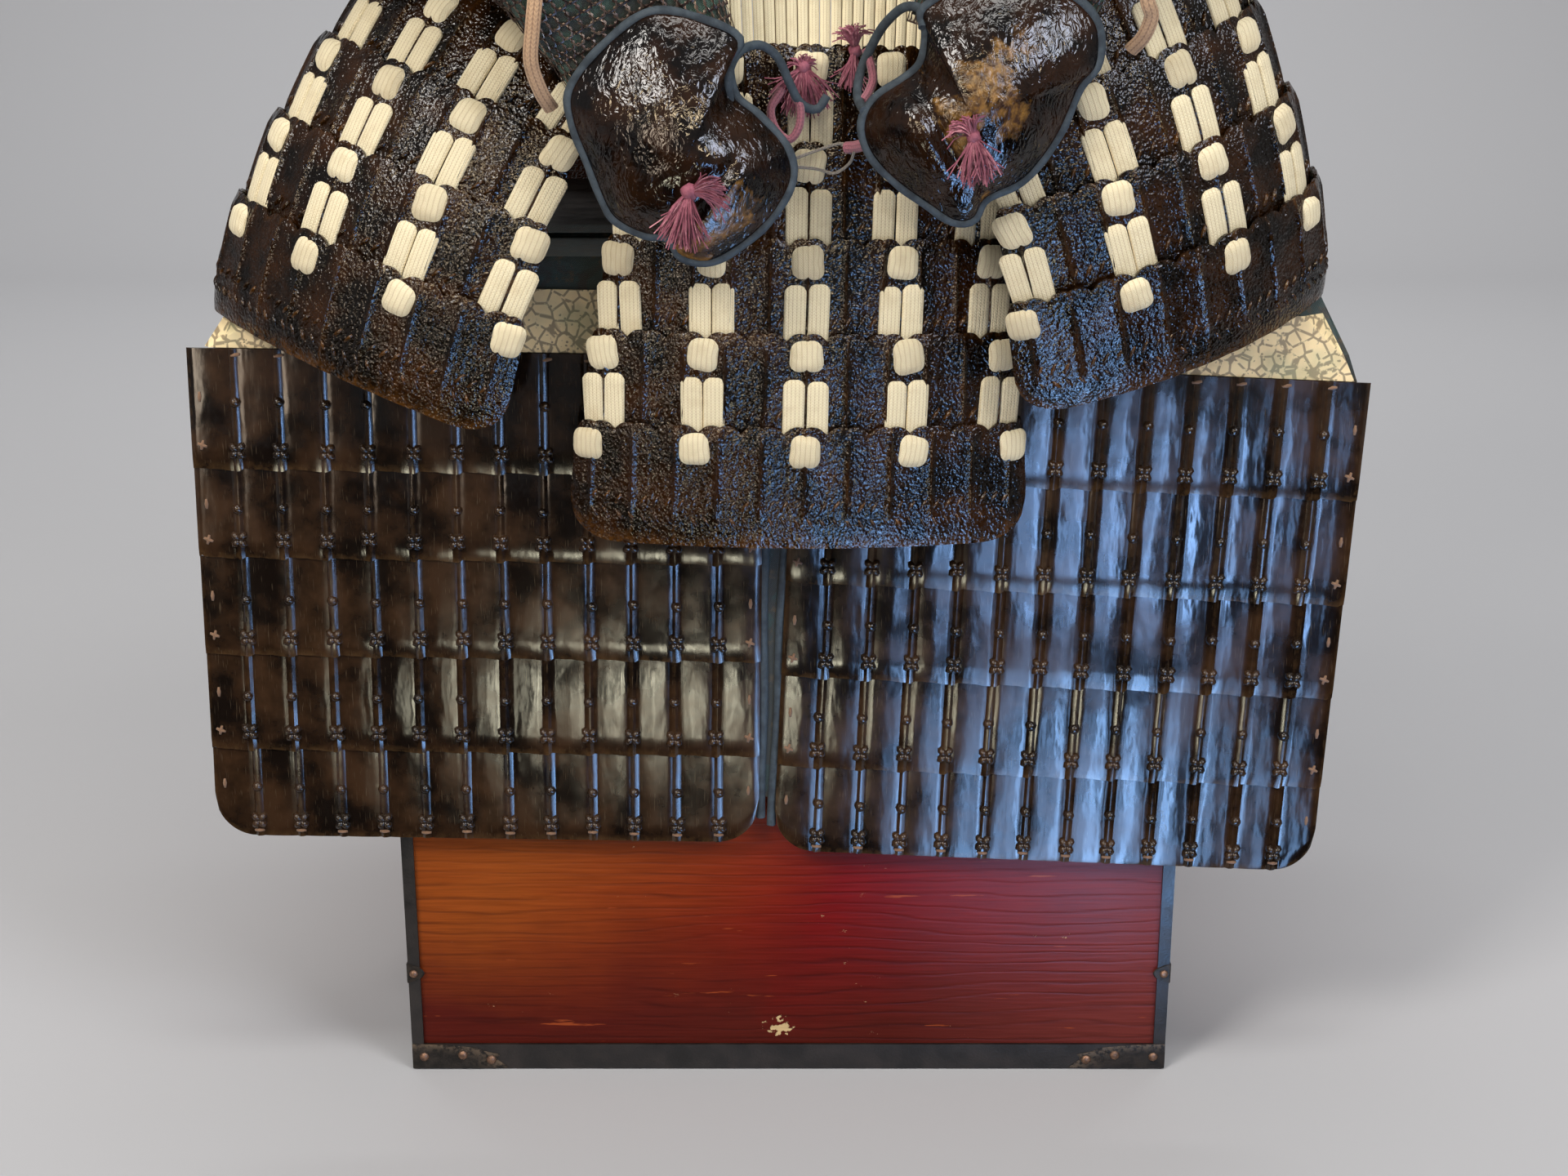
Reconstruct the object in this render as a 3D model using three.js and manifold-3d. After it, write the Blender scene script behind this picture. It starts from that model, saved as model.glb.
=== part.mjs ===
// Lamellar armour on its lacquered chest.
// Millimetres, +Z up, the front faces -Y, the origin is the middle of the chest's underside.
import * as THREE from 'three';
import { mergeVertices } from 'three/addons/utils/BufferGeometryUtils.js';
import Module from 'manifold-3d';

const wasm = await Module();
wasm.setup();

// Driving dimensions
const SEAM = 0.3; // gap between pieces that touch
const CHEST_W = 450, CHEST_D = 400, BODY_H = 470; // chest without its lid
const FRAME_T = 1.7, RAIL = 16, STILE = 7, BOX_WALL = 11;
const LID_H = 60, LID_TOP = 484, LID_OVER = 3, LID_WALL = 2.6;
const ROWS = 5; // lames in a tasset
const PITCH = 48.5; // from one lame to the next
const LAME_H = 66;
const CURL_R = 50; // tighter bend at the outer end of the two tassets beside the middle one
const LAME_T = 3;
const KNOT_DROP = 12.5; // lacing knots below the scalloped head
const LAME_W = 250; // lowest lame
const LAME_STEP = 16.6; // each lame is narrower than the one below
const LAME_TAPER = 4; // a lame is this much wider at the foot than at mid height
const PLATES = 11; // scales in a lame
const NOTCH = 4; // depth of the scallops
const CORNER = 26; // rounded corners of the lowest lame
const HEM_Z = 690, HEM_A = 182, HEM_B = 158; // lower edge of the body armour
const SHELL_T = 3;
const PANEL_COLS = 13, PLATE_W = 23.85; // thigh guard plates
const CLOTH_T = 2.4;

// Tassets: x, y, z of the middle of the lowest row of knots, turns in degrees, radius of the bend across,
// bulge (1 / radius of the bend down), width factor, the end that curls (-1 left, 1 right, 0 none), and the
// hem of the body armour above: azimuth, half share, part of the top lame that the lacing reaches.
const TASSETS = [
  { name: 'front', x: 8, y: -250, z: 392, yaw: 3.8, lean: -3.5, roll: 1.2, bend: 296, bulge: 0.0006, wide: 1,
    curl: 0, hem: 0, share: 27, from: 0.04, to: 0.86, fine: true },
  { name: 'front_right', x: 226.5, y: -246.8, z: 494, yaw: 27, lean: -1, roll: -18, bend: 165, bulge: 0.003,
    wide: 1, curl: 1, hem: 50, share: 22, from: 0.3, to: 0.96, fine: true },
  { name: 'side_right', x: 310, y: 28, z: 440, yaw: 90, lean: -26, roll: 0, bend: 400, bulge: 0.0012,
    wide: 0.86, curl: 0, hem: 98, share: 24, from: 0.06, to: 0.94, fine: false },
  { name: 'rear_right', x: 150, y: 288, z: 440, yaw: 156, lean: -27, roll: 0, bend: 400, bulge: 0.0012,
    wide: 0.86, curl: 0, hem: 151, share: 26, from: 0.06, to: 0.94, fine: false },
  { name: 'rear_left', x: -150, y: 288, z: 440, yaw: 204, lean: -27, roll: 0, bend: 400, bulge: 0.0012,
    wide: 0.86, curl: 0, hem: 209, share: 26, from: 0.06, to: 0.94, fine: false },
  { name: 'side_left', x: -310, y: 28, z: 440, yaw: 270, lean: -26, roll: 0, bend: 400, bulge: 0.0012,
    wide: 0.86, curl: 0, hem: 262, share: 24, from: 0.06, to: 0.94, fine: false },
  { name: 'front_left', x: -247, y: -238, z: 492, yaw: 332, lean: -16, roll: 16.5, bend: 170, bulge: 0.0032,
    wide: 1, curl: -1, hem: 310, share: 22, from: 0.04, to: 0.9, fine: true },
];

// Thigh guard panels: middle of the seam between rows 2 and 3, turn in degrees, heights of the rows.
const PANELS = [
  { name: 'left', x: -170, z: 320, turn: 0.9, rows: [66, 50, 56.5, 56.5, 53] },
  { name: 'right', x: 153, z: 301, turn: 2.5, rows: [65, 60, 55, 54, 52] },
];

// Hand guards: place of the middle, and the edge going round from the wrist side (across, up).
const GUARDS = [
  { name: 'left', x: -50, z: 547, edge: [
    [-55.6, 31.5], [-55.6, 15.7], [-48.4, -3.9], [-41.7, -21.7], [-35.7, -31.5], [-21.8, -38.6], [-9.9, -40.2],
    [-4, -49.2], [9.9, -52], [25, -44.5], [40.5, -30.7], [50.8, -12.6], [48.4, 3.1], [34.9, 18.5],
    [23.4, 28.3], [21, 44], [25.8, 54], [11.9, 62], [-15.9, 66.9], [-39.7, 51]] },
  { name: 'right', x: 86.5, z: 567, edge: [
    [-21.8, 49], [-21, 37.4], [-23, 23.6], [-31.7, 15.7], [-43.6, 7.9], [-49.6, 0], [-50.8, -9.8],
    [-45.6, -21.7], [-33.7, -33.5], [-19.8, -43.3], [-6, -52], [4, -51.2], [9.9, -41.3], [25.8, -33.5],
    [35.7, -23.6], [45.6, -7.9], [53.6, 11.8], [62, 23.6], [60, 43], [41.7, 57], [6, 61]] },
];
const GUARD_Y = -281, GUARD_RISE = 24, GUARD_T = 2.6;

// Sleeves, left side: middle of the tube, half width across, half depth.
const SLEEVE = [
  { x: -214, y: 2, z: 990, a: 66, b: 62 },
  { x: -240, y: -4, z: 940, a: 64, b: 62 },
  { x: -268, y: -20, z: 870, a: 60, b: 58 },
  { x: -284, y: -46, z: 810, a: 57, b: 55 },
  { x: -276, y: -92, z: 762, a: 56, b: 52 },
  { x: -236, y: -150, z: 735, a: 56, b: 48 },
  { x: -184, y: -202, z: 715, a: 56, b: 43 },
  { x: -134, y: -248, z: 685, a: 54, b: 33 },
  { x: -98, y: -271, z: 648, a: 51, b: 19 },
  { x: -76, y: -269.4, z: 612, a: 46, b: 8 },
  { x: -62, y: -270.4, z: 580, a: 41, b: 6 },
];
const RIGHT_ARM = [ // what the right sleeve's stations are moved by
  { x: 0, y: 0, z: 0 }, { x: 0, y: 0, z: 0 }, { x: 0, y: 0, z: 0 }, { x: 0, y: -2, z: 4 }, { x: 0, y: -6, z: 10 },
  { x: 0, y: -14, z: 20 }, { x: 2, y: -18, z: 26 }, { x: 12, y: -12, z: 26 }, { x: 24, y: -3, z: 22 },
  { x: 32, y: -0.2, z: 20 }, { x: 35, y: 0.8, z: 20 },
];
const SLEEVE_T = 2.2, SLEEVE_SIDES = 14;

const rad = Math.PI / 180;
const v3 = (x, y, z) => new THREE.Vector3(x, y, z);
const lerp = (a, b, t) => a + (b - a) * t;
const range = (n) => Array.from({ length: n }, (_, i) => i);

// Materials
const finish = (color, roughness, metalness = 0) => new THREE.MeshStandardMaterial({ color, roughness, metalness });
const LOOK = {
  lacquer: finish('#1c1512', 0.25),
  plate: finish('#2a211d', 0.2),
  lacing: finish('#e6dcc4', 0.85),
  brocade: finish('#54614f', 0.9),
  leather: finish('#c9b48c', 0.7),
  mail: finish('#3a2c25', 0.5, 0.6),
  guard: finish('#33241b', 0.3),
  silk: finish('#8a4a5c', 0.85),
  red: finish('#6e1f16', 0.4),
  frame: finish('#191310', 0.45),
  stand: finish('#6b4a32', 0.7),
};

const model = new THREE.Group();
model.name = 'lamellar_armour';
const add = (name, geometry, material) => {
  const mesh = new THREE.Mesh(geometry, material);
  mesh.name = name;
  model.add(mesh);
};

// Geometry from a list of triangles, each three points, turned round where the faces point inwards.
function fromTriangles(tris) {
  let volume = 0;
  for (const [a, b, c] of tris) volume += a.dot(b.clone().cross(c));
  const flat = [];
  for (const [a, b, c] of tris) {
    for (const p of volume > 0 ? [a, b, c] : [a, c, b]) flat.push(p.x, p.y, p.z);
  }
  const g = new THREE.BufferGeometry();
  g.setAttribute('position', new THREE.Float32BufferAttribute(flat, 3));
  return g;
}

// A wall between two grids of points of the same size; the first index runs round when closed is set.
function wall(outer, inner, closed = false) {
  const tris = [];
  const quad = (a, b, c, d) => tris.push([a, b, c], [a, c, d]);
  const n = outer.length, m = outer[0].length, last = closed ? n : n - 1;
  for (let i = 0; i < last; i++) {
    const k = (i + 1) % n;
    for (let j = 0; j < m - 1; j++) {
      quad(outer[i][j], outer[k][j], outer[k][j + 1], outer[i][j + 1]);
      quad(inner[i][j + 1], inner[k][j + 1], inner[k][j], inner[i][j]);
    }
    quad(outer[k][0], outer[i][0], inner[i][0], inner[k][0]);
    quad(outer[i][m - 1], outer[k][m - 1], inner[k][m - 1], inner[i][m - 1]);
  }
  if (!closed) {
    for (let j = 0; j < m - 1; j++) {
      quad(outer[0][j], outer[0][j + 1], inner[0][j + 1], inner[0][j]);
      quad(outer[n - 1][j + 1], outer[n - 1][j], inner[n - 1][j], inner[n - 1][j + 1]);
    }
  }
  return fromTriangles(tris);
}

// Booleans on merged, position-only meshes.
function solid(geometry) {
  const g = geometry.clone();
  for (const key of Object.keys(g.attributes)) if (key !== 'position') g.deleteAttribute(key);
  const merged = mergeVertices(g, 1e-4);
  return new wasm.Manifold(new wasm.Mesh({
    numProp: 3,
    vertProperties: merged.attributes.position.array,
    triVerts: new Uint32Array(merged.index.array),
  }));
}
function geometryOf(manifold) {
  const mesh = manifold.getMesh();
  const g = new THREE.BufferGeometry();
  g.setAttribute('position', new THREE.BufferAttribute(new Float32Array(mesh.vertProperties), 3));
  g.setIndex(new THREE.BufferAttribute(new Uint32Array(mesh.triVerts), 1));
  return g;
}
function box(x0, x1, y0, y1, z0, z1) {
  const g = new THREE.BoxGeometry(x1 - x0, y1 - y0, z1 - z0);
  g.translate((x0 + x1) / 2, (y0 + y1) / 2, (z0 + z1) / 2);
  return solid(g);
}
// A flat shape in the XZ plane, given as [x, z] points, with a thickness from y0 back to y1.
function sheetXZ(points, y0, y1) {
  const shape = new THREE.Shape(points.map(([x, z]) => new THREE.Vector2(x, z)));
  const g = new THREE.ExtrudeGeometry(shape, { depth: y1 - y0, bevelEnabled: false });
  g.rotateX(Math.PI / 2);
  g.translate(0, y1, 0);
  return g;
}

// A point of a tasset: u across (0 in the middle), v down from the head of its top lame, off outwards.
const KNOT_V = (ROWS - 1) * PITCH + KNOT_DROP;
function tassetPoint(t, u, v, off) {
  const a = (KNOT_V - v) * t.bulge;
  const far = Math.max(0, u * t.curl - 0.235 * (LAME_W - 20 - LAME_STEP * (KNOT_V - v) / PITCH));
  const phi0 = (u - far * t.curl) / t.bend, phi = phi0 + far * t.curl / CURL_R;
  const normal = v3(Math.sin(phi) * Math.cos(a), -Math.cos(phi) * Math.cos(a), Math.cos(phi) * Math.sin(a));
  const p = v3(t.bend * Math.sin(phi0) + CURL_R * (Math.sin(phi) - Math.sin(phi0)),
    t.bend * (1 - Math.cos(phi0)) + CURL_R * (Math.cos(phi0) - Math.cos(phi)) + (1 - Math.cos(a)) / t.bulge,
    Math.sin(a) / t.bulge);
  p.addScaledVector(normal.normalize(), off);
  p.applyAxisAngle(v3(0, 1, 0), t.roll * rad);
  p.applyAxisAngle(v3(1, 0, 0), t.lean * rad);
  p.applyAxisAngle(v3(0, 0, 1), t.yaw * rad);
  return p.add(v3(t.x, t.y, t.z));
}
const rowWidth = (t, row) => (LAME_W - LAME_STEP * (ROWS - row)) * t.wide;

// Each lame leans out at its head, so that it covers the foot of the one above it.
const lameLean = (t) => 2.45 + 620 * t.bulge * 0.62;

function lame(t, row) {
  const width = rowWidth(t, row), v0 = (row - 1) * PITCH, lean = lameLean(t);
  const marks = t.fine ? [0, 0.27, 0.73] : [0, 0.5];
  const steps = [];
  for (const p of range(PLATES)) for (const m of marks) steps.push((p + m) / PLATES);
  steps.push(1);
  const outer = [], inner = [];
  const radius = row === ROWS ? CORNER : 7;
  for (const s of steps) {
    const side = Math.min(s, 1 - s) * width;
    const notch = s * PLATES % 1 < 1e-6 ? NOTCH : 0;
    const ends = s === 0 || s === 1 ? 3 : 0;
    const d = Math.max(0, radius - side);
    const rise = radius - Math.sqrt(Math.max(0, radius * radius - d * d));
    const top = v0 + notch + ends, foot = v0 + LAME_H - rise * (row === ROWS ? 0.8 : 0.7);
    const u = (s - 0.5) * 2;
    const uTop = u * (width / 2 - LAME_TAPER * 0.6), uFoot = u * (width / 2 + LAME_TAPER * 0.5);
    const at = (uu, vv, side) => tassetPoint(t, uu, vv, side * LAME_T / 2 + lean * (1 - 2 * (vv - v0) / LAME_H));
    outer.push([at(uTop, top, 1), at(uFoot, foot, 1)]);
    inner.push([at(uTop, top, -1), at(uFoot, foot, -1)]);
  }
  return wall(outer, inner);
}
for (const t of TASSETS) {
  for (let row = 1; row <= ROWS; row++) add(`tasset_${t.name}_${row}`, lame(t, row), LOOK.lacquer);
}

// Waist lacing: one ring of cords, slit between the tassets, from the body armour's hem to behind the lames.
{
  const outer = [], inner = [], count = 7;
  for (const t of TASSETS) {
    for (const i of range(count)) {
      const s = i / (count - 1);
      const az = (t.hem + (2 * s - 1) * t.share) * rad;
      const top = v3(HEM_A * Math.sin(az), -HEM_B * Math.cos(az), HEM_Z - SEAM);
      const u = (lerp(t.from, t.to, s) - 0.5) * rowWidth(t, 1);
      let foot = tassetPoint(t, u, 2, 0.94 * lameLean(t) - LAME_T / 2 - (t.fine ? 0.95 : 1.15));
      if (i === 0 || i === count - 1) foot = top.clone().lerp(foot, 0.3);
      const mid = top.clone().lerp(foot, 0.5).add(v3(Math.sin(az), -Math.cos(az), 0));
      const into = v3(-Math.sin(az), Math.cos(az), 0).multiplyScalar(2.4);
      const line = [top, mid, foot];
      outer.push(line);
      inner.push(line.map((p) => p.clone().add(into)));
    }
  }
  add('waist_lacing', wall(outer, inner, true), LOOK.lacing);
}

// Body armour: two shells of horizontal lames, each lame standing out at its foot.
const SHELL_ROWS = 6;
const TOPS = { front: { mid: 985, side: 880 }, back: { mid: 1005, side: 880 } };
function shellSize(h) { // half width and half depth at a height above the hem
  const z = h / 300;
  return { a: HEM_A - 4 - 26 * Math.exp(-(((z - 0.17) / 0.16) ** 2)) + 8 * z,
    b: HEM_B - 4 - 22 * Math.exp(-(((z - 0.17) / 0.16) ** 2)) - 6 * z * z };
}
function shell(which) {
  const outer = [], inner = [], n = 22, { mid, side } = TOPS[which];
  for (const i of range(n + 1)) {
    const az = lerp(-89.6, 89.6, i / n);
    const fade = THREE.MathUtils.smoothstep(Math.abs(az), 34, 72);
    const top = lerp(mid, side, fade);
    const rowO = [], rowI = [];
    const flip = which === 'front' ? 1 : -1;
    for (const r of range(SHELL_ROWS)) {
      for (const [s, off] of [[r, 1.3], [r + 0.97, -0.7]]) {
        const h = (top - HEM_Z) * s / SHELL_ROWS;
        const { a, b } = shellSize(h);
        const at = (t) => v3((a + off - t) * Math.sin(az * rad), -flip * (b + off - t) * Math.cos(az * rad), HEM_Z + h);
        rowO.push(at(0));
        rowI.push(at(SHELL_T));
      }
    }
    outer.push(rowO);
    inner.push(rowI);
  }
  return wall(outer, inner);
}
add('body_front', shell('front'), LOOK.lacquer);
add('body_back', shell('back'), LOOK.lacquer);

// Shoulder straps, over the bar of the stand.
const STRAP = [ // share of the depth (front -1, back 1), height, distance outside the shell
  { f: -1, z: 940, off: 3 }, { f: -1, z: 1000, off: 2.6 }, { f: -0.6, z: 1026, off: 0 }, { f: -0.2, z: 1036, off: 0 },
  { f: 0.2, z: 1038, off: 0 }, { f: 0.65, z: 1034, off: 0 }, { f: 1, z: 1016, off: 2.6 }, { f: 1, z: 950, off: 3 },
];
function strap(side) {
  const line = (x, t) => STRAP.map(({ f, z, off }, i) => {
    const { a, b } = shellSize(Math.min(z, 985) - HEM_Z);
    const depth = (b + 1.3 + off) * Math.sqrt(1 - (x / (a + off)) ** 2);
    const steep = Math.abs(f) === 1 && i !== 1 && i !== 6;
    return v3(side * x, f * depth - (steep ? Math.sign(f) * t : Math.sign(f) * t * 0.5 * (Math.abs(f) === 1)),
      z - (steep ? 0 : t * 0.95));
  });
  const xs = [58, 80, 102];
  return wall(xs.map((x) => line(x, 0)), xs.map((x) => line(x, SHELL_T * 0.8)));
}
add('shoulder_strap_left', strap(-1), LOOK.lacquer);
add('shoulder_strap_right', strap(1), LOOK.lacquer);

// Stand: foot, post and shoulder bar.
const BAR_TOP = 1036 - SHELL_T * 0.8 * 0.95 - 0.1;
const BAR_HALF = 264.4; // its ends carry the sleeves
add('stand', geometryOf(box(-70, 70, -70, 70, LID_TOP + SEAM, LID_TOP + 14)
  .add(box(-18, 18, -18, 18, LID_TOP + 10, BAR_TOP - 10)).add(box(-BAR_HALF, BAR_HALF, -15, 15, BAR_TOP - 30, BAR_TOP))),
LOOK.stand);

// Chest: box, edge frame, cap lid.
const bx = CHEST_W / 2 - FRAME_T - SEAM, by = CHEST_D / 2 - FRAME_T - SEAM;
add('chest_box', geometryOf(box(-bx, bx, -by, by, FRAME_T + SEAM, BODY_H)
  .subtract(box(-bx + BOX_WALL, bx - BOX_WALL, -by + BOX_WALL, by - BOX_WALL, FRAME_T + 12, BODY_H + 5))), LOOK.red);
{
  const w = CHEST_W / 2, d = CHEST_D / 2;
  let cage = box(-w, w, -d, d, 0, BODY_H).subtract(
    box(-w + FRAME_T, w - FRAME_T, -d + FRAME_T, d - FRAME_T, FRAME_T, BODY_H + 5));
  cage = cage.subtract(box(-w + STILE, w - STILE, -d - 5, d + 5, RAIL, BODY_H - RAIL));
  cage = cage.subtract(box(-w - 5, w + 5, -d + RAIL, d - RAIL, RAIL, BODY_H - RAIL));
  add('chest_frame', geometryOf(cage), LOOK.frame);
  const lw = w + LID_OVER, ld = d + LID_OVER;
  add('chest_lid', geometryOf(box(-lw, lw, -ld, ld, LID_TOP - LID_H, LID_TOP)
    .subtract(box(-lw + LID_WALL, lw - LID_WALL, -ld + LID_WALL, ld - LID_WALL, LID_TOP - LID_H - 5,
      BODY_H + SEAM))), LOOK.frame);
}

// Thigh guard. Distances in front of the chest: cloth, printed leather, plates.
const FRONT = -CHEST_D / 2 - LID_OVER;
const CLOTH_Y = FRONT - 0.8; // back of the cloth
const BAND_Y = CLOTH_Y - CLOTH_T - 0.7;
const PLATE_Y = BAND_Y - SEAM;
for (const p of PANELS) {
  p.top = p.rows[0] + p.rows[1];
  p.foot = p.top - p.rows.reduce((a, b) => a + b, 0);
}
const PANEL_W = PANEL_COLS * PLATE_W;
// Beside the chest the cloth above the plates slopes back, from a crease that runs out and down from the lid.
const BAND_H = 34;
const CREASE = { x: 234, z: LID_TOP + 1, foot: 434, left: 318, right: 303, back: 1.05 };
const creaseX = (x, z) => {
  const end = x < 0 ? CREASE.left : CREASE.right;
  return lerp(end, CREASE.x, (z - CREASE.foot) / (CREASE.z - CREASE.foot));
};
const setBack = (x, z) => CREASE.back * Math.max(0, Math.abs(x) - creaseX(x, z));
const turned = (p) => ([x, z]) => {
  const a = -p.turn * rad;
  return [p.x + x * Math.cos(a) - z * Math.sin(a), p.z + x * Math.sin(a) + z * Math.cos(a)];
};
function roundedPanel(p, inset, r) {
  const w = PANEL_W / 2 - inset, top = p.top - inset, foot = p.foot + inset;
  const pts = [[w, top], [-w, top]];
  for (const i of range(6)) {
    const a = (180 + 18 * i) * rad;
    pts.push([-w + r + r * Math.cos(a), foot + r + r * Math.sin(a)]);
  }
  for (const i of range(6)) {
    const a = (270 + 18 * i) * rad;
    pts.push([w - r + r * Math.cos(a), foot + r + r * Math.sin(a)]);
  }
  return pts;
}
for (const p of PANELS) {
  // Stepped side view of the five rows, each row standing out at its foot.
  const rim = [[PLATE_Y, p.top]];
  let z = p.top;
  for (const h of p.rows) {
    rim.push([PLATE_Y - 2.2, z], [PLATE_Y - 4, z - h]);
    z -= h;
  }
  rim.push([PLATE_Y, z]);
  const side = new THREE.Shape(rim.map(([y, zz]) => new THREE.Vector2(y, zz)));
  const long = new THREE.ExtrudeGeometry(side, { depth: PANEL_W, bevelEnabled: false });
  // The side view's axes (y, z) go to Y and Z, the extrusion to X.
  long.applyMatrix4(new THREE.Matrix4().set(0, 0, 1, -PANEL_W / 2, 1, 0, 0, 0, 0, 1, 0, 0, 0, 0, 0, 1));
  const stepped = solid(long);
  const outline = solid(sheetXZ(roundedPanel(p, 0, 24), PLATE_Y - 20, PLATE_Y + 5));
  const g = geometryOf(stepped.intersect(outline));
  g.rotateY(p.turn * rad);
  g.translate(p.x, 0, p.z);
  add(`thigh_plates_${p.name}`, g, LOOK.plate);
  // Printed leather strip above the plates, on the cloth.
  const inX = p.name === 'left' ? PANEL_W / 2 - 4 : -PANEL_W / 2 + 4;
  const outX = p.name === 'left' ? -PANEL_W / 2 + 9 : PANEL_W / 2 - 9;
  const line = (s, off) => {
    const end = lerp(outX, inX, 0.06 * s), [ex, ez] = turned(p)([end, p.top + SEAM + s * BAND_H]);
    const [ix, iz] = turned(p)([inX, p.top + SEAM + s * BAND_H]);
    let cx = ex, cz = ez;
    for (let n = 0; n < 8; n++) {
      cx = Math.sign(ex) * Math.min(creaseX(ex, cz), Math.abs(ex) - 1);
      cz = lerp(iz, ez, (cx - ix) / (ex - ix));
    }
    return [[ix, iz], [cx, cz], [ex, ez]].map(([x, z]) => v3(x, BAND_Y - off + setBack(x, z), z));
  };
  // One line of points meets the end just where the crease does.
  const [endX, endZ] = turned(p)([outX, p.top + SEAM]), foot = endX < 0 ? CREASE.left : CREASE.right;
  const meetZ = lerp(CREASE.foot, CREASE.z, (foot - Math.abs(endX) + 0.6) / (foot - CREASE.x));
  const meet = THREE.MathUtils.clamp((meetZ - endZ) / BAND_H, 0.02, 0.9);
  const grid = (off) => [0, meet, 1].map((s) => line(s, off));
  add(`printed_leather_${p.name}`, wall(grid(1.3), grid(0)), LOOK.leather);
}
{
  const y1 = CLOTH_Y, y0 = CLOTH_Y - CLOTH_T;
  let cloth = null;
  const join = (points) => {
    const s = solid(sheetXZ(points, y0, y1));
    cloth = cloth ? cloth.add(s) : s;
  };
  for (const p of PANELS) join(roundedPanel(p, 3, 24).map(turned(p)));
  join([[-30, 182], [15, 172], [15, 430], [-30, 430]]);
  // Above the plates the cloth slopes back beside the chest, then folds over the lid and lies along its top.
  const [l, r] = PANELS;
  const endL = turned(l)([-PANEL_W / 2 + 3, l.top - 12]), endR = turned(r)([PANEL_W / 2 - 3, r.top - 12]);
  const rows = [ // height, how far the sides have come in
    { z: 410, in: 0 }, { z: CREASE.foot, in: 9 }, { z: 459, in: 19 }, { z: LID_TOP + 0.35, in: 28 }];
  const edgeZ = LID_TOP + 0.35;
  const fold = [ // front and back of the cloth past the edge
    { yo: y0 + 1.8, zo: LID_TOP + 2.6, yi: y1 + 1, zi: LID_TOP + 0.45, in: 40, keep: 1 },
    { yo: y0 + 12, zo: LID_TOP + SEAM + CLOTH_T, yi: y1 + 10, zi: LID_TOP + SEAM, in: 66, keep: 0.9 },
    { yo: -96, zo: LID_TOP + SEAM + CLOTH_T, yi: -96, zi: LID_TOP + SEAM, in: 110, keep: 0 }];
  const line = (k, off) => {
    const xs = (i, z) => {
      const [a, b] = [endL[0] + i, endR[0] - i];
      const ca = Math.max(-creaseX(-1, z), a * 0.99), cb = Math.min(creaseX(1, z), b * 0.99);
      return [a, ca, ca / 2, 0, cb / 2, cb, b][k];
    };
    const low = rows.map((q) => {
      const z = q.z, x = xs(q.in, z);
      return v3(x, (off ? y0 : y1) + setBack(x, z), z);
    });
    return low.concat(fold.map((q) => {
      const x = xs(q.in, edgeZ);
      return v3(x, (off ? q.yo : q.yi) + setBack(x, edgeZ) * q.keep, off ? q.zo : q.zi);
    }));
  };
  cloth = cloth.add(solid(wall(range(7).map((k) => line(k, true)), range(7).map((k) => line(k, false)))));
  add('thigh_guard_cloth', geometryOf(cloth), LOOK.brocade);
  const bandZ = LID_TOP + 2 * SEAM + CLOTH_T;
  add('thigh_guard_waistband', geometryOf(box(-196, 180, -132, -98, bandZ, bandZ + 2.6)), LOOK.brocade);
}

// Sleeves: closed rings of points along the arm, the tube open at both ends.
function sleeve(side) {
  const path = SLEEVE.map((s) => v3(s.x, s.y, s.z));
  // The right sleeve is held a little higher and nearer the middle.
  if (side > 0) path.forEach((p, i) => p.set(-p.x + RIGHT_ARM[i].x, p.y + RIGHT_ARM[i].y, p.z + RIGHT_ARM[i].z));
  const outer = range(SLEEVE_SIDES).map(() => []), inner = range(SLEEVE_SIDES).map(() => []);
  // The direction across the wrist is carried back along the arm without twist.
  const dirs = path.map((p, i) => path[Math.min(i + 1, path.length - 1)].clone().sub(path[Math.max(i - 1, 0)])
    .normalize());
  const acrosses = [];
  const carried = v3(1, -0.05 * side, 0);
  for (let i = path.length - 1; i >= 0; i--) {
    carried.addScaledVector(dirs[i], -carried.dot(dirs[i])).normalize();
    acrosses[i] = carried.clone();
  }
  SLEEVE.forEach((s, i) => {
    const across = acrosses[i], up = dirs[i].clone().cross(across).normalize();
    for (const k of range(SLEEVE_SIDES)) {
      const a = 2 * Math.PI * k / SLEEVE_SIDES;
      const at = (t) => path[i].clone().addScaledVector(across, (s.a - t) * Math.cos(a))
        .addScaledVector(up, (s.b - t) * Math.sin(a));
      outer[k].push(at(0));
      inner[k].push(at(SLEEVE_T));
    }
  });
  return wall(outer, inner, true);
}
add('sleeve_left', sleeve(-1), LOOK.mail);
add('sleeve_right', sleeve(1), LOOK.mail);

// Hand guards: domed plates inside a drawn edge.
const RINGS = [0.3, 0.6, 0.85, 1];
const domeY = (f) => GUARD_Y - GUARD_RISE * (1 - f * f);
function guard(g) {
  const at = (x, z, f, t) => v3(g.x + x, domeY(f) + t, g.z + z);
  const tris = [], n = g.edge.length;
  const ring = (f, t) => g.edge.map(([x, z]) => at(x * f, z * f, f, t));
  for (const t of [0, GUARD_T]) {
    const turn = (a, b, c) => tris.push(t === 0 ? [a, b, c] : [a, c, b]);
    const hub = at(0, 0, 0, t);
    const rings = RINGS.map((f) => ring(f, t));
    for (const i of range(n)) {
      const k = (i + 1) % n;
      turn(hub, rings[0][i], rings[0][k]);
      for (let j = 0; j < RINGS.length - 1; j++) {
        turn(rings[j][i], rings[j + 1][i], rings[j + 1][k]);
        turn(rings[j][i], rings[j + 1][k], rings[j][k]);
      }
    }
  }
  const rimO = ring(1, 0), rimI = ring(1, GUARD_T);
  for (const i of range(n)) {
    const k = (i + 1) % n;
    tris.push([rimO[i], rimI[i], rimI[k]], [rimO[i], rimI[k], rimO[k]]);
  }
  return fromTriangles(tris);
}
for (const g of GUARDS) add(`hand_guard_${g.name}`, guard(g), LOOK.guard);

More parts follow.
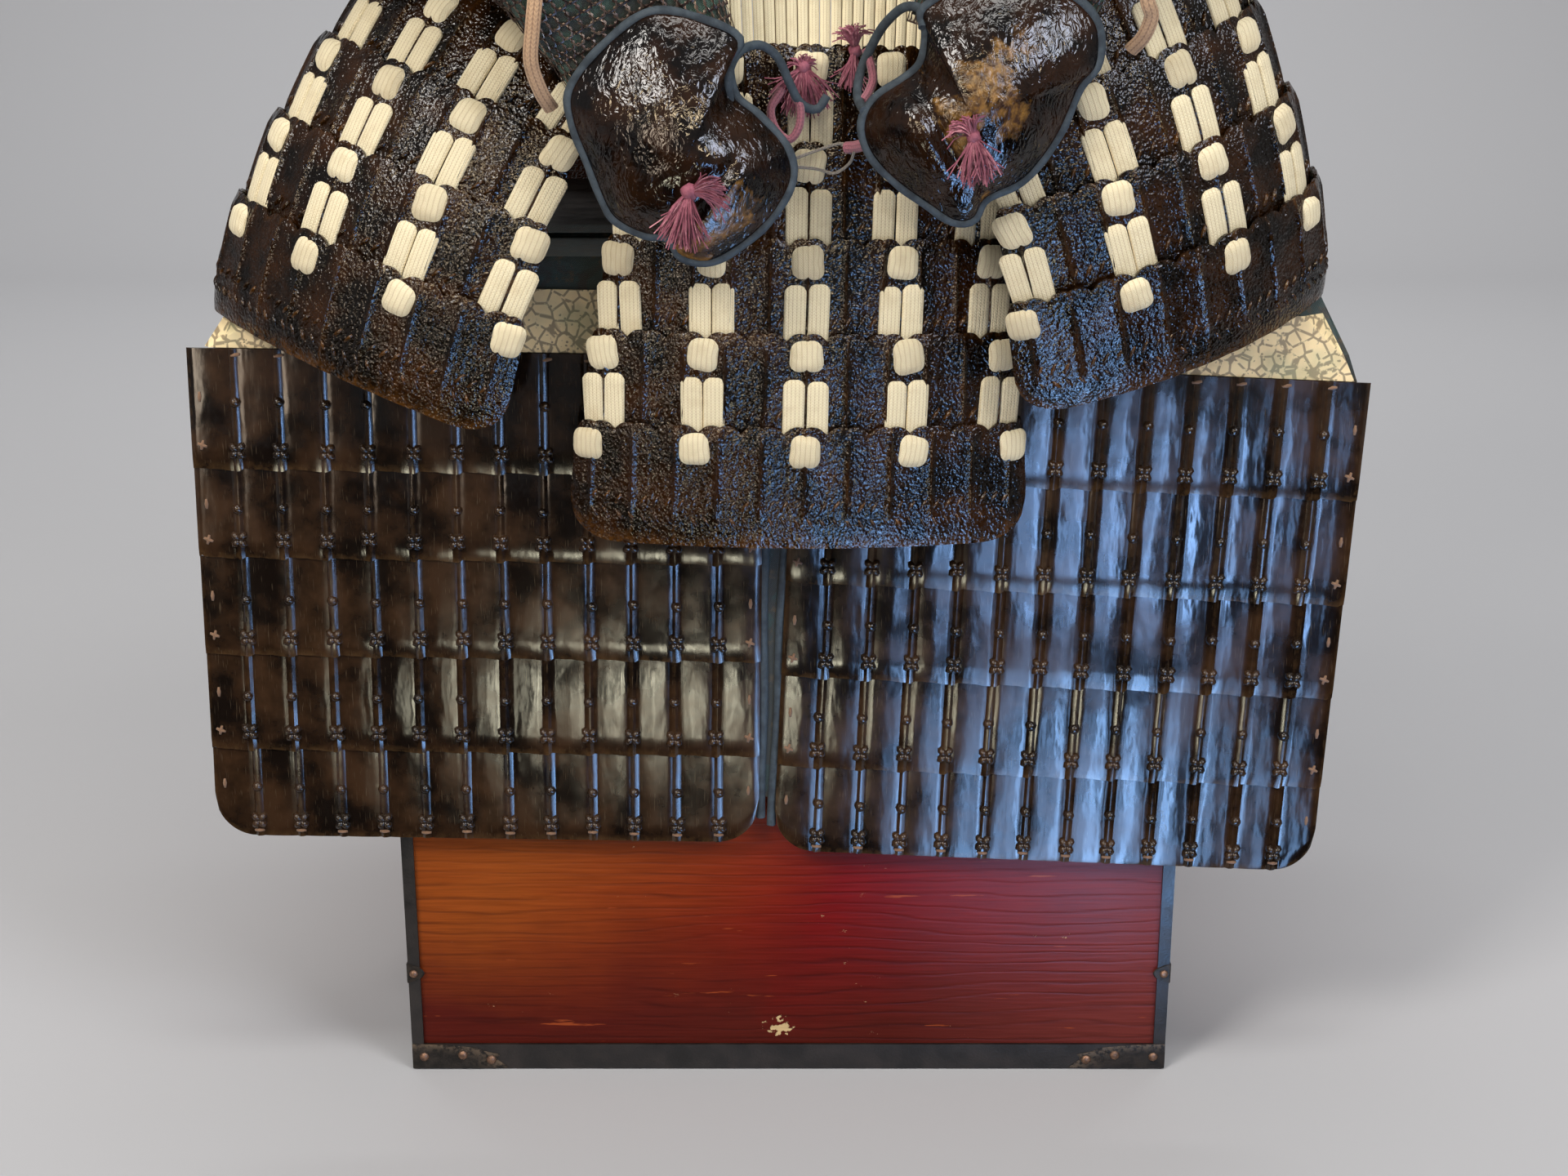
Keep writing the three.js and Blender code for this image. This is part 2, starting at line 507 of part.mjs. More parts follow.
// Tassels: a round knot with strands fanned to one or two sides.
function tassel(x, y, z, head, fans) {
  const ball = new THREE.SphereGeometry(head, 8, 6);
  ball.translate(x, y, z);
  let body = solid(ball);
  for (const { angle, spread, count, length } of fans) {
    for (const i of range(count)) {
      const s = count > 1 ? i / (count - 1) - 0.5 : 0;
      const a = (angle + 2 * spread * s) * rad;
      const out = i % 2 ? -0.32 : 0.05;
      const len = length * (0.86 + 0.14 * Math.cos(i * 2.4));
      const dir = v3(Math.cos(a), out, Math.sin(a)).normalize();
      const side = v3(-Math.sin(a), 0, Math.cos(a));
      const strand = new THREE.CylinderGeometry(1.2, 0.8, len, 4, 1);
      strand.applyQuaternion(new THREE.Quaternion().setFromUnitVectors(v3(0, 1, 0), dir));
      strand.translate(x + dir.x * len / 2 + side.x * s * head, y + dir.y * len / 2,
        z + dir.z * len / 2 + side.z * s * head);
      body = body.add(solid(strand));
    }
  }
  return geometryOf(body);
}
const surfaceY = GUARD_Y - GUARD_RISE;
add('hand_tassel_left', tassel(-48, surfaceY - 4.0, 532, 5.5,
  [{ angle: 50, spread: 50, count: 11, length: 20 }, { angle: 235, spread: 40, count: 11, length: 20 }]), LOOK.silk);
add('hand_tassel_right', tassel(87, surfaceY - 4.9, 558, 5.5,
  [{ angle: 125, spread: 40, count: 10, length: 19 }, { angle: 300, spread: 38, count: 10, length: 19 }]), LOOK.silk);
add('loop_tassel_left', tassel(7, -235.4, 586, 5,
  [{ angle: 275, spread: 70, count: 12, length: 21 }]), LOOK.silk);
add('loop_tassel_right', tassel(33, -231.8, 594, 4.5,
  [{ angle: 98, spread: 16, count: 9, length: 22 }]), LOOK.silk);

export default model;
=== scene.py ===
"""Lamellar armour seated on its lacquered chest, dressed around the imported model.

Sizes are in millimetres until a mesh is made; the front faces -Y and the chest stands on Z = 0.
"""

import logging
import math
from dataclasses import dataclass
from enum import Enum

import bpy
import numpy as np
from numpy.typing import NDArray
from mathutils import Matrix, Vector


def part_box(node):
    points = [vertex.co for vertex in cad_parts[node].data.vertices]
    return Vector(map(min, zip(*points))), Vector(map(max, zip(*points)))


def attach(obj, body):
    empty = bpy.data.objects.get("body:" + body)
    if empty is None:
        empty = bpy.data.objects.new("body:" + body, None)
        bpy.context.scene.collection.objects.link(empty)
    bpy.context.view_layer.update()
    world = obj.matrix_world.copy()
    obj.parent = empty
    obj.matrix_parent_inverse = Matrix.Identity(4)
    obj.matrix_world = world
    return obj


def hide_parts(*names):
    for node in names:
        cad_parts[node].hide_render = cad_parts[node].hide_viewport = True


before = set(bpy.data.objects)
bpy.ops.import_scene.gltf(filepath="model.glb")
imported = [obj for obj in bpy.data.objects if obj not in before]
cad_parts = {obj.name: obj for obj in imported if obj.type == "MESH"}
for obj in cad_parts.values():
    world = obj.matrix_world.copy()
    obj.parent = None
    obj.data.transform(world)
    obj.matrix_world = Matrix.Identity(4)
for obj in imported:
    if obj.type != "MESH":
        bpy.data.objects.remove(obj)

Array = NDArray[np.float64]
Faces = NDArray[np.int64]
Socket = bpy.types.NodeSocket
Place = tuple[float, float, float]
MM = 0.001
log = logging.getLogger("armour")


# Shapes
def unit(vectors: Array) -> Array:
    """Vectors along the last axis, each of length one."""
    return vectors / np.maximum(np.linalg.norm(vectors, axis=-1, keepdims=True), 1e-9)


def turn(points: Array, axis: int, degrees: float) -> Array:
    """Points turned about a row axis (0 X, 1 Y, 2 Z) by the right-hand rule."""
    a, b = (axis + 1) % 3, (axis + 2) % 3
    c, s = math.cos(math.radians(degrees)), math.sin(math.radians(degrees))
    out = points.copy()
    out[..., a] = c * points[..., a] - s * points[..., b]
    out[..., b] = s * points[..., a] + c * points[..., b]
    return out


def bump(x: Array, middle: float, width: float) -> Array:
    """A smooth bell of height one: exp(-((x - middle) / width) squared)."""
    return np.exp(-(((x - middle) / width) ** 2))


def smooth(x: Array, low: float, high: float) -> Array:
    """Zero below low, one above high, a cubic between."""
    t = np.clip((x - low) / (high - low), 0, 1)
    return t * t * (3 - 2 * t)


def grid_faces(rows: int, cols: int, wrap: bool = False) -> Faces:
    """Quads of a grid of rows by cols points.

    Args:
        rows: points along the first index.
        cols: points along the second index.
        wrap: whether the second index closes on itself.

    Returns:
        Corner numbers, four a face.
    """
    i, j = np.meshgrid(np.arange(rows - 1), np.arange(cols if wrap else cols - 1), indexing="ij")
    k = (j + 1) % cols
    quad = [i * cols + j, (i + 1) * cols + j, (i + 1) * cols + k, i * cols + k]
    return np.stack([q.ravel() for q in quad], axis=1)


def outward(points: Array, faces: Faces) -> Faces:
    """Faces of a closed shape, turned round if its signed volume is negative."""
    p = points[faces]
    total = np.einsum("ij,ij->", p[:, 0], np.cross(p[:, 1], p[:, 2]))
    if faces.shape[1] == 4:
        total += np.einsum("ij,ij->", p[:, 0], np.cross(p[:, 2], p[:, 3]))
    return faces if total > 0 else faces[:, ::-1]


def slab(outer: Array, inner: Array) -> tuple[Array, Faces]:
    """A closed wall between two grids of points.

    Args:
        outer: rows by cols by 3 points of the face that is seen.
        inner: the same number of points behind it.

    Returns:
        Points and quads; the rims join the grids' four edges.
    """
    n, m = outer.shape[:2]
    ids = np.arange(n * m).reshape(n, m)
    edge = np.concatenate([ids[0, :-1], ids[:-1, -1], ids[-1, :0:-1], ids[:0:-1, 0]])
    ahead = np.roll(edge, -1)
    rim = np.stack([edge, ahead, ahead + n * m, edge + n * m], axis=1)
    front = grid_faces(n, m)
    points = np.concatenate([outer.reshape(-1, 3), inner.reshape(-1, 3)])
    # The front's first row runs along cols, so its edge loop goes against the rim's order.
    faces = np.concatenate([front, front[:, ::-1] + n * m, rim])
    return points, outward(points, faces)


def loft(rings: Array) -> tuple[Array, Faces]:
    """A closed tube through rings of points.

    Args:
        rings: stations by sides by 3; each end is drawn in to a point at its middle.

    Returns:
        Points and quads, the ends closed by quads that share the middle.
    """
    n, m = rings.shape[:2]
    ends = np.stack([np.repeat(rings[k].mean(0)[None], m, 0) for k in (0, -1)])
    full = np.concatenate([ends[:1], rings, ends[1:]])
    points = full.reshape(-1, 3)
    return points, outward(points, grid_faces(n + 2, m, wrap=True))


def frames_along(path: Array, up: Array, closed: bool = False) -> tuple[Array, Array]:
    """Two directions square to a path at each of its points.

    Args:
        path: points of the line.
        up: a direction, or one for each point, that the second result leans to.
        closed: whether the line joins its own start.

    Returns:
        The sideways and the upward directions.
    """
    if closed:
        ahead = np.roll(path, -1, 0) - np.roll(path, 1, 0)
    else:
        ahead = np.gradient(path, axis=0)
    ahead = unit(ahead)
    side = unit(np.cross(ahead, np.broadcast_to(up, path.shape)))
    return side, np.cross(side, ahead)


def tube(path: Array, radius: Array | float, sides: int, up: Array, flat: float = 1.0,
         closed: bool = False) -> tuple[Array, Faces]:
    """A round or flattened cord along a path.

    Args:
        path: points of its middle line.
        radius: one for all points or one each.
        sides: points round the cord.
        up: the direction in which it is flattened.
        flat: height as a share of the width.
        closed: whether it is a ring.

    Returns:
        Points and quads.
    """
    side, rise = frames_along(path, up, closed)
    a = np.linspace(0, 2 * np.pi, sides, endpoint=False)
    r = np.broadcast_to(radius, len(path))[:, None, None]
    across, upright = np.cos(a)[None, :, None], flat * np.sin(a)[None, :, None]
    rings = path[:, None] + r * (across * side[:, None] + upright * rise[:, None])
    if not closed:
        return loft(rings)
    rings = np.concatenate([rings, rings[:1]])
    faces = grid_faces(len(rings), sides, wrap=True) % (len(path) * sides)
    points = rings[:-1].reshape(-1, 3)
    return points, outward(points, faces)


def smooth_path(knots: Array, count: int, closed: bool = False) -> Array:
    """Points evenly spread on a Catmull-Rom curve through knots."""
    p = np.asarray(knots, float)
    before, after = (p[-1:], p[:2]) if closed else (2 * p[:1] - p[1:2], 2 * p[-1:] - p[-2:-1])
    p = np.concatenate([before, p, after])
    spans = len(p) - 3
    t = np.linspace(0, spans, 24 * spans + 1)
    i = np.minimum(t.astype(int), spans - 1)
    f = (t - i)[:, None]
    a, b, c, d = (p[i + k] for k in range(4))
    q = 0.5 * (2 * b + (c - a) * f + (2 * a - 5 * b + 4 * c - d) * f**2 + (3 * b - a - 3 * c + d) * f**3)
    run = np.concatenate([[0], np.cumsum(np.linalg.norm(np.diff(q, axis=0), axis=1))])
    at = np.linspace(0, run[-1], count + 1)[:-1] if closed else np.linspace(0, run[-1], count)
    return np.stack([np.interp(at, run, q[:, k]) for k in range(3)], axis=1)


class Mesh:
    """Points and faces of one piece, gathered part by part."""

    def __init__(self) -> None:
        """Starts empty."""
        self.points: list[Array] = []
        self.maps: list[Array] = []
        self.tones: list[Array] = []
        self.loops: list[Faces] = []
        self.sizes: list[Faces] = []
        self.count = 0

    def add(self, shape: tuple[Array, Faces], uv: Array | None = None, tone: Array | float = 0.5) -> None:
        """Adds a part.

        Args:
            shape: its points and faces.
            uv: two numbers a point, in millimetres, or None for nought.
            tone: a number from 0 to 1 that varies its colour, one or one a point.
        """
        points, faces = shape
        points = points.reshape(-1, 3)
        self.points.append(points)
        self.maps.append(np.zeros((len(points), 2)) if uv is None else uv.reshape(-1, 2))
        self.tones.append(np.broadcast_to(tone, len(points)).astype(float))
        self.loops.append(faces.ravel() + self.count)
        self.sizes.append(np.full(len(faces), faces.shape[1]))
        self.count += len(points)

    def copies(self, shape: tuple[Array, Faces], points: Array, uv: Array | None = None,
               tone: Array | float = 0.5) -> None:
        """Adds many copies of one part, whose points have been set in place.

        Args:
            shape: the part, for its faces.
            points: copies by points by 3.
            uv: the part's own map, the same for every copy.
            tone: one number, or one a copy.
        """
        n, size = points.shape[:2]
        faces = shape[1][None] + (np.arange(n) * size)[:, None, None]
        tones = np.repeat(np.broadcast_to(tone, n), size)
        maps = None if uv is None else np.tile(uv.reshape(1, -1, 2), (n, 1, 1))
        self.add((points.reshape(-1, 3), faces.reshape(-1, shape[1].shape[1])), maps, tones)

    def build(self, name: str, look: bpy.types.Material, slot: str, replaces: tuple[str, ...] = (),
              crease: float = 50) -> bpy.types.Object:
        """Makes the object, which rides on the root body.

        Args:
            name: the piece's name.
            look: its material.
            slot: not used.
            replaces: CAD nodes that it stands for.
            crease: angle in degrees above which an edge stays sharp.

        Returns:
            The object, at the origin.
        """
        mesh = bpy.data.meshes.new(name)
        loops, sizes = np.concatenate(self.loops), np.concatenate(self.sizes)
        mesh.vertices.add(self.count)
        mesh.vertices.foreach_set("co", (np.concatenate(self.points) * MM).astype(np.float32).ravel())
        mesh.loops.add(len(loops))
        mesh.loops.foreach_set("vertex_index", loops.astype(np.int32))
        mesh.polygons.add(len(sizes))
        mesh.polygons.foreach_set("loop_start", (np.cumsum(sizes) - sizes).astype(np.int32))
        mesh.update(calc_edges=True)
        layer = mesh.uv_layers.new(name="UVMap")
        layer.data.foreach_set("uv", (np.concatenate(self.maps)[loops] * MM).astype(np.float32).ravel())
        tone = mesh.attributes.new("tone", "FLOAT", "POINT")
        tone.data.foreach_set("value", np.concatenate(self.tones).astype(np.float32))
        mesh.materials.append(look)
        mesh.validate()
        mesh.polygons.foreach_set("use_smooth", np.ones(len(mesh.polygons), bool))
        mesh.set_sharp_from_angle(angle=math.radians(crease))
        piece = bpy.data.objects.new(name, mesh)
        bpy.context.scene.collection.objects.link(piece)
        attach(piece, "root")
        if replaces:
            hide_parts(*replaces)
        log.info("%s: %d faces", name, len(sizes))
        return piece


def dress(name: str, look: bpy.types.Material) -> None:
    """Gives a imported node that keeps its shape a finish."""
    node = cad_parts[name]
    node.data.materials.clear()
    node.data.materials.append(look)


# Finishes
def srgb(code: str) -> tuple[float, float, float, float]:
    """The linear colour of an sRGB hex code, with full alpha."""
    c = np.array([int(code[i:i + 2], 16) for i in (1, 3, 5)]) / 255
    c = np.where(c <= 0.04045, c / 12.92, ((c + 0.055) / 1.055) ** 2.4)
    return float(c[0]), float(c[1]), float(c[2]), 1.0


class Recipe:
    """A material being put together from nodes."""

    def __init__(self, name: str) -> None:
        """Makes an empty material.

        Args:
            name: the material's name.
        """
        self.material = bpy.data.materials.new(name)
        self.material.use_nodes = True
        self.tree = self.material.node_tree
        self.tree.nodes.clear()

    def node(self, kind: str, links: dict | None = None, **settings: object) -> bpy.types.Node:
        """Adds a node.

        Args:
            kind: its type without the ShaderNode prefix.
            links: values or other sockets by input name or number.
            settings: its properties.

        Returns:
            The node.
        """
        made = self.tree.nodes.new("ShaderNode" + kind)
        for key, value in settings.items():
            setattr(made, key, value)
        for key, value in (links or {}).items():
            if isinstance(value, Socket):
                self.tree.links.new(value, made.inputs[key])
            else:
                made.inputs[key].default_value = value
        return made

    def math(self, operation: str, *values: object) -> Socket:
        """The result of a Math node."""
        return self.node("Math", dict(enumerate(values)), operation=operation).outputs[0]

    def mix(self, share: object, a: object, b: object) -> Socket:
        """Colour a passing into colour b by a share; colours are hex codes or sockets."""
        a, b = (srgb(x) if isinstance(x, str) else x for x in (a, b))
        made = self.node("Mix", {0: share, 6: a, 7: b}, data_type="RGBA")
        return made.outputs[2]

    def spot(self, scale: tuple[float, float, float] = (1, 1, 1), flat: bool = False) -> Socket:
        """Object coordinates in millimetres, or the UV map's, each times a scale."""
        place = self.node("TexCoord").outputs["UV" if flat else "Object"]
        return self.node("Mapping", {0: place, 3: tuple(1000 * s for s in scale)}).outputs[0]

    def noise(self, size: float, detail: float = 3, at: Socket | None = None, rough: float = 0.55,
              warp: float = 0) -> Socket:
        """Noise with features of a size in millimetres, from 0 to 1."""
        return self.node("TexNoise", {"Vector": at or self.spot(), "Scale": 1 / size, "Detail": detail,
                                      "Roughness": rough, "Distortion": warp}).outputs[0]

    def cells(self, size: float, at: Socket | None = None, feature: str = "F1") -> Socket:
        """Distance in a field of cells of a size in millimetres."""
        return self.node("TexVoronoi", {"Vector": at or self.spot(), "Scale": 1 / size},
                         feature=feature).outputs[0]

    def between(self, value: object, low: float, high: float, a: float = 0.0, b: float = 1.0) -> Socket:
        """A value's range low to high drawn onto a to b, held at the ends."""
        return self.node("MapRange", {0: value, 1: low, 2: high, 3: a, 4: b}).outputs[0]

    def tone(self) -> Socket:
        """The mesh's own tone from 0 to 1."""
        return self.node("Attribute", attribute_name="tone").outputs["Fac"]

    def part(self, axis: int, at: Socket | None = None) -> Socket:
        """One coordinate of a place, in millimetres."""
        return self.node("SeparateXYZ", {0: at or self.spot()}).outputs[axis]

    def bump(self, height: Socket, depth: float, under: Socket | None = None) -> Socket:
        """A normal from a height of 0 to 1 that is depth millimetres high."""
        links = {"Height": height, "Distance": depth * MM, "Strength": 1.0}
        if under is not None:
            links["Normal"] = under
        return self.node("Bump", links).outputs[0]

    def finish(self, **sockets: object) -> bpy.types.Material:
        """Joins a Principled shader to the output; sockets are named with underscores for spaces."""
        links = {}
        for key, value in sockets.items():
            key = key.replace("_", " ")
            links[key.replace("base color", "Base Color")] = srgb(value) if isinstance(value, str) else value
        names = {k.lower(): k for k in ("Base Color", "Metallic", "Roughness", "IOR", "Normal", "Coat Weight",
                                        "Coat Roughness", "Sheen Weight", "Sheen Roughness",
                                        "Specular IOR Level")}
        shader = self.node("BsdfPrincipled", {names[k.lower()]: v for k, v in links.items()})
        self.node("OutputMaterial", {0: shader.outputs[0]})
        return self.material


@dataclass(frozen=True)
class WrinkledLacquer:
    """Black lacquer brushed thickly over rawhide scales.

    The skin under it shrank, so the gloss breaks into wrinkles of a few millimetres and small pits; where
    hands rubbed it the lacquer is thin and a golden brown comes through.
    """

    name: str
    dark: str = "#0d0703"
    brown: str = "#321b08"
    worn: str = "#7a4e1e"
    wear: float = 0.48
    wrinkle_mm: float = 3.2
    relief_mm: float = 1.15

    def build(self) -> bpy.types.Material:
        """Returns the material."""
        r = Recipe(self.name)
        at = r.spot((1, 1, 0.7))
        folds = r.noise(self.wrinkle_mm, 2.5, at, 0.5, 0.7)
        pits = r.cells(1.7, None, "SMOOTH_F1")
        fine = r.noise(0.9, 2)
        skin = r.math("ADD", r.math("MULTIPLY", folds, 0.75),
                      r.math("MULTIPLY", r.between(pits, 0.1, 0.6), 0.3))
        body = r.mix(r.between(r.noise(26, 3), 0.42, 0.66), self.dark, self.brown)
        # The mesh's tone is high along worn edges.
        rubbed = r.math("MULTIPLY", r.between(r.tone(), 0.55, 1.0),
                        r.between(r.noise(5, 4, None, 0.7), 0.38, 0.6))
        colour = r.mix(r.math("MULTIPLY", rubbed, self.wear), body, self.worn)
        normal = r.bump(fine, 0.05, r.bump(skin, self.relief_mm))
        return r.finish(base_color=colour, Roughness=r.between(r.noise(9, 3), 0.3, 0.7, 0.05, 0.12), IOR=1.4,
                        Normal=normal)


@dataclass(frozen=True)
class SmoothLacquer:
    """Dark brown lacquer polished over hardened leather plates.

    It is nearly flat, so lights draw long soft streaks that waver with the leather, under fine scratches.
    """

    name: str
    dark: str = "#130c08"
    brown: str = "#3a2616"
    wave_mm: float = 0.75

    def build(self) -> bpy.types.Material:
        """Returns the material."""
        r = Recipe(self.name)
        waver = r.noise(24, 2, r.spot((1.4, 1, 0.5)), 0.4)
        ripple = r.noise(6, 2, r.spot((1, 1, 0.45)), 0.5)
        scratch = r.between(r.noise(0.5, 1, r.spot((1, 1, 0.04))), 0.66, 0.74)
        cloudy = r.noise(34, 4, None, 0.6)
        body = r.mix(r.between(cloudy, 0.4, 0.62), self.dark, self.brown)
        edge = r.math("MULTIPLY", r.between(r.tone(), 0.6, 1.0), r.between(r.noise(4, 4), 0.35, 0.6))
        colour = r.mix(r.math("MULTIPLY", edge, 0.45), body, "#6b5031")
        colour = r.mix(r.math("MULTIPLY", scratch, 0.18), colour, "#8c7a62")
        height = r.math("ADD", waver, r.math("MULTIPLY", ripple, 0.15))
        return r.finish(base_color=colour, Roughness=r.between(cloudy, 0.3, 0.7, 0.1, 0.2), IOR=1.42,
                        Normal=r.bump(height, self.wave_mm))


@dataclass(frozen=True)
class FlatBraid:
    """Silk or cotton laces plaited flat: small chevrons run along ribs; the grooves and the low parts of the
    yarns are painted darker as shade, and blotches of dirt darken it too.
    """

    name: str
    light: str = "#faecc6"
    shade_and_dirt: str = "#cbb181"
    ribs_mm: float = 2.1
    stitch_mm: float = 1.5
    slant: float = 1.0

    def build(self) -> bpy.types.Material:
        """Returns the material; the UV map is across and along the braid in millimetres."""
        r = Recipe(self.name)
        at = r.spot(flat=True)
        u, v = r.part(0, at), r.part(1, at)
        rib = r.math("PINGPONG", u, self.ribs_mm / 2)
        slanted = r.math("ADD", v, r.math("MULTIPLY", rib, self.slant))
        along = r.math("FRACT", r.math("DIVIDE", slanted, self.stitch_mm))
        yarn = r.math("SINE", r.math("MULTIPLY", along, math.pi))
        groove = r.between(rib, 0.0, self.ribs_mm * 0.2, 0.35)
        height = r.math("MULTIPLY", r.math("ADD", r.math("MULTIPLY", yarn, 0.5), 0.5), groove)
        # Painted shade: the low parts of the braid take the dark colour and the raised yarns the light one.
        base = r.mix(r.between(height, 0.05, 0.75), self.shade_and_dirt, self.light)
        # Blotches of dirt in the same dark colour.
        colour = r.mix(r.math("MULTIPLY", r.between(r.noise(11, 4), 0.5, 0.75), 0.35), base, self.shade_and_dirt)
        colour = r.mix(r.between(r.tone(), 0.5, 1.0, 0.0, 0.6), colour, "#8f7650")
        return r.finish(base_color=colour, Roughness=0.85, Sheen_Weight=0.25, Normal=r.bump(height, 0.28))


@dataclass(frozen=True)
class Cloth:
    """Plain or figured cloth: threads cross at a set spacing, and worn patches show a second colour."""

    name: str
    ground: str
    second: str
    third: str
    thread_mm: float = 1.1
    figure_mm: float = 30.0
    figured: float = 0.8
    sheen: float = 0.3

    def build(self) -> bpy.types.Material:
        """Returns the material."""
        r = Recipe(self.name)
        at = r.spot()
        x, z = r.part(0, at), r.part(2, at)
        warp = r.math("SINE", r.math("MULTIPLY", x, 2 * math.pi / self.thread_mm))
        weft = r.math("SINE", r.math("MULTIPLY", z, 2 * math.pi / self.thread_mm))
        weave = r.math("ADD", r.math("MULTIPLY", r.math("MULTIPLY", warp, weft), 0.5), 0.5)
        blot = r.noise(self.figure_mm, 3, None, 0.6, 1.2)
        rubbed = r.noise(self.figure_mm * 0.3, 5, None, 0.7)
        colour = r.mix(r.between(blot, 0.46, 0.54, 0, self.figured), self.ground, self.second)
        colour = r.mix(r.between(rubbed, 0.54, 0.66, 0, self.figured), colour, self.third)
        # Painted shade: the hollows between the threads are painted darker.
        colour = r.mix(r.between(weave, 0, 1, 0.3, 0), colour, "#0c0a08")
        return r.finish(base_color=colour, Roughness=0.88, Sheen_Weight=self.sheen,
                        Normal=r.bump(r.math("ADD", weave, r.math("MULTIPLY", rubbed, 2)), 0.3))


@dataclass(frozen=True)
class PrintedLeather:
    """Smoked deerskin, printed through a stencil with an uneven net, dots and small blossoms."""

    name: str
    ground: str = "#ffe6b2"
    ink: str = "#4a3222"
    blossom: str = "#a8432f"

    def build(self) -> bpy.types.Material:
        """Returns the material; the net is the edges of uneven cells, with dots between and red blossoms."""
        r = Recipe(self.name)
        at = r.spot((1, 0, 1))
        net = r.between(r.cells(7, at, "DISTANCE_TO_EDGE"), 0.06, 0.1, 1, 0)
        leaf = r.between(r.cells(5.5, at), 0.34, 0.4, 1, 0)
        dots = r.between(r.cells(2.6, at), 0.24, 0.3, 1, 0)
        print_ = r.math("MAXIMUM", r.math("MULTIPLY", net, r.between(r.noise(4, 2, at), 0.38, 0.46)),
                        r.math("MULTIPLY", dots, leaf))
        colour = r.mix(r.math("MULTIPLY", print_, 0.68), self.ground, self.ink)
        colour = r.mix(r.between(r.cells(44, at), 0.1, 0.13, 0.9, 0), colour, self.blossom)
        colour = r.mix(r.between(r.noise(34, 2), 0.54, 0.66, 0, 0.3), colour, "#7f9a72")
        colour = r.mix(r.between(r.noise(20, 4), 0.5, 0.8, 0, 0.3), colour, "#a2804e")
        return r.finish(base_color=colour, Roughness=0.75, Normal=r.bump(r.noise(0.8, 3), 0.12))


@dataclass(frozen=True)
class LacqueredBoard:
    """Red lacquer over a softwood board.

    The grain shows as long wavy lines. Painted light makes it amber at the upper left and a painted sheen
    makes the right side a paler greyish red; it is crimson in the middle and darker maroon towards the foot,
    with chips down to the cream ground.
    """

    name: str
    amber: str = "#a35019"
    crimson: str = "#860d06"
    maroon: str = "#5a1a10"
    chip: str = "#d9bb8a"

    def build(self) -> bpy.types.Material:
        """Returns the material."""
        r = Recipe(self.name)
        x, z = r.part(0), r.part(2)
        long = r.noise(30, 3, r.spot((0.16, 1, 1)), 0.5)
        rings = r.math("FRACT", r.math("ADD", r.math("MULTIPLY", z, 0.13), r.math("MULTIPLY", long, 3.4)))
        line = r.between(r.math("ABSOLUTE", r.math("SUBTRACT", rings, 0.5)), 0.0, 0.16, 1, 0)
        fibre = r.noise(1.5, 3, r.spot((0.03, 1, 1)), 0.6)
        # Painted light: towards the upper left the red is painted amber, as where the light falls.
        lit_upper_left = r.between(r.math("ADD", r.math("MULTIPLY", x, -1), r.math("MULTIPLY", z, 0.5)), 30, 225)
        body = r.mix(r.math("MULTIPLY", lit_upper_left, r.between(long, 0.3, 0.6, 0.75, 1)), self.crimson, self.amber)
        # Darker maroon towards the foot.
        low = r.between(r.math("ADD", z, r.math("MULTIPLY", r.noise(60, 3), 60)), 60, 150, 1, 0)
        body = r.mix(low, body, self.maroon)
        # Painted sheen: the right side is painted a paler greyish red.
        right = r.between(x, 60, 200, 0, 0.55)
        body = r.mix(right, body, "#8a403a")
        strength = r.between(r.noise(70, 2), 0.4, 0.6, 0.08, 0.42)
        body = r.mix(r.math("MULTIPLY", line, strength), body, "#1d0606")
        body = r.mix(r.between(fibre, 0.35, 0.65, 0.3, 0), body, "#240707")
        chips = r.math("MULTIPLY", r.between(r.noise(7, 5, r.spot((0.55, 1, 1.1)), 0.7), 0.69, 0.71),
                       r.between(r.noise(70, 1), 0.5, 0.58))
        away = r.math("SQRT", r.math("ADD", r.math("POWER", r.math("ADD", x, 5), 2),
                                     r.math("POWER", r.math("MULTIPLY", r.math("SUBTRACT", z, 27), 1.5), 2)))
        knock = r.between(r.math("ADD", away, r.math("MULTIPLY", r.noise(4.5, 3), 34)), 22, 23.5, 1, 0)
        chips = r.math("MAXIMUM", chips, knock)
        scrape = r.between(r.noise(5, 4, r.spot((0.1, 1, 1.3)), 0.6), 0.7, 0.73)
        body = r.mix(r.math("MULTIPLY", scrape, 0.6), body, "#b5562a")
        body = r.mix(chips, body, self.chip)
        height = r.math("SUBTRACT", r.math("MULTIPLY", fibre, 0.4),
                        r.math("ADD", chips, r.math("MULTIPLY", line, 0.3)))
        return r.finish(base_color=body, Roughness=r.between(fibre, 0.2, 0.8, 0.25, 0.42), IOR=1.4,
                        Specular_IOR_Level=0.14, Normal=r.bump(height, 0.35))


@dataclass(frozen=True)
class Coated:
    """A painted or oiled surface: two tones in blotches, an edge colour where the tone is high, fine grit."""

    name: str
    main: str
    other: str
    edge: str
    rough: float = 0.45
    metal: float = 0.0
    blotch_mm: float = 14.0
    grit_mm: float = 1.2
    relief_mm: float = 0.15

    def build(self) -> bpy.types.Material:
        """Returns the material."""
        r = Recipe(self.name)
        blotch = r.noise(self.blotch_mm, 4, None, 0.6)
        grit = r.noise(self.grit_mm, 3)
        colour = r.mix(r.between(blotch, 0.4, 0.62), self.main, self.other)
        worn = r.math("MULTIPLY", r.between(r.tone(), 0.55, 1.0),
                      r.between(r.noise(3, 4, None, 0.7), 0.4, 0.55))
        colour = r.mix(worn, colour, self.edge)
        rough = r.between(blotch, 0.3, 0.7, self.rough - 0.1, self.rough + 0.12)
        return r.finish(base_color=colour, Roughness=rough, Metallic=self.metal,
                        Normal=r.bump(grit, self.relief_mm))


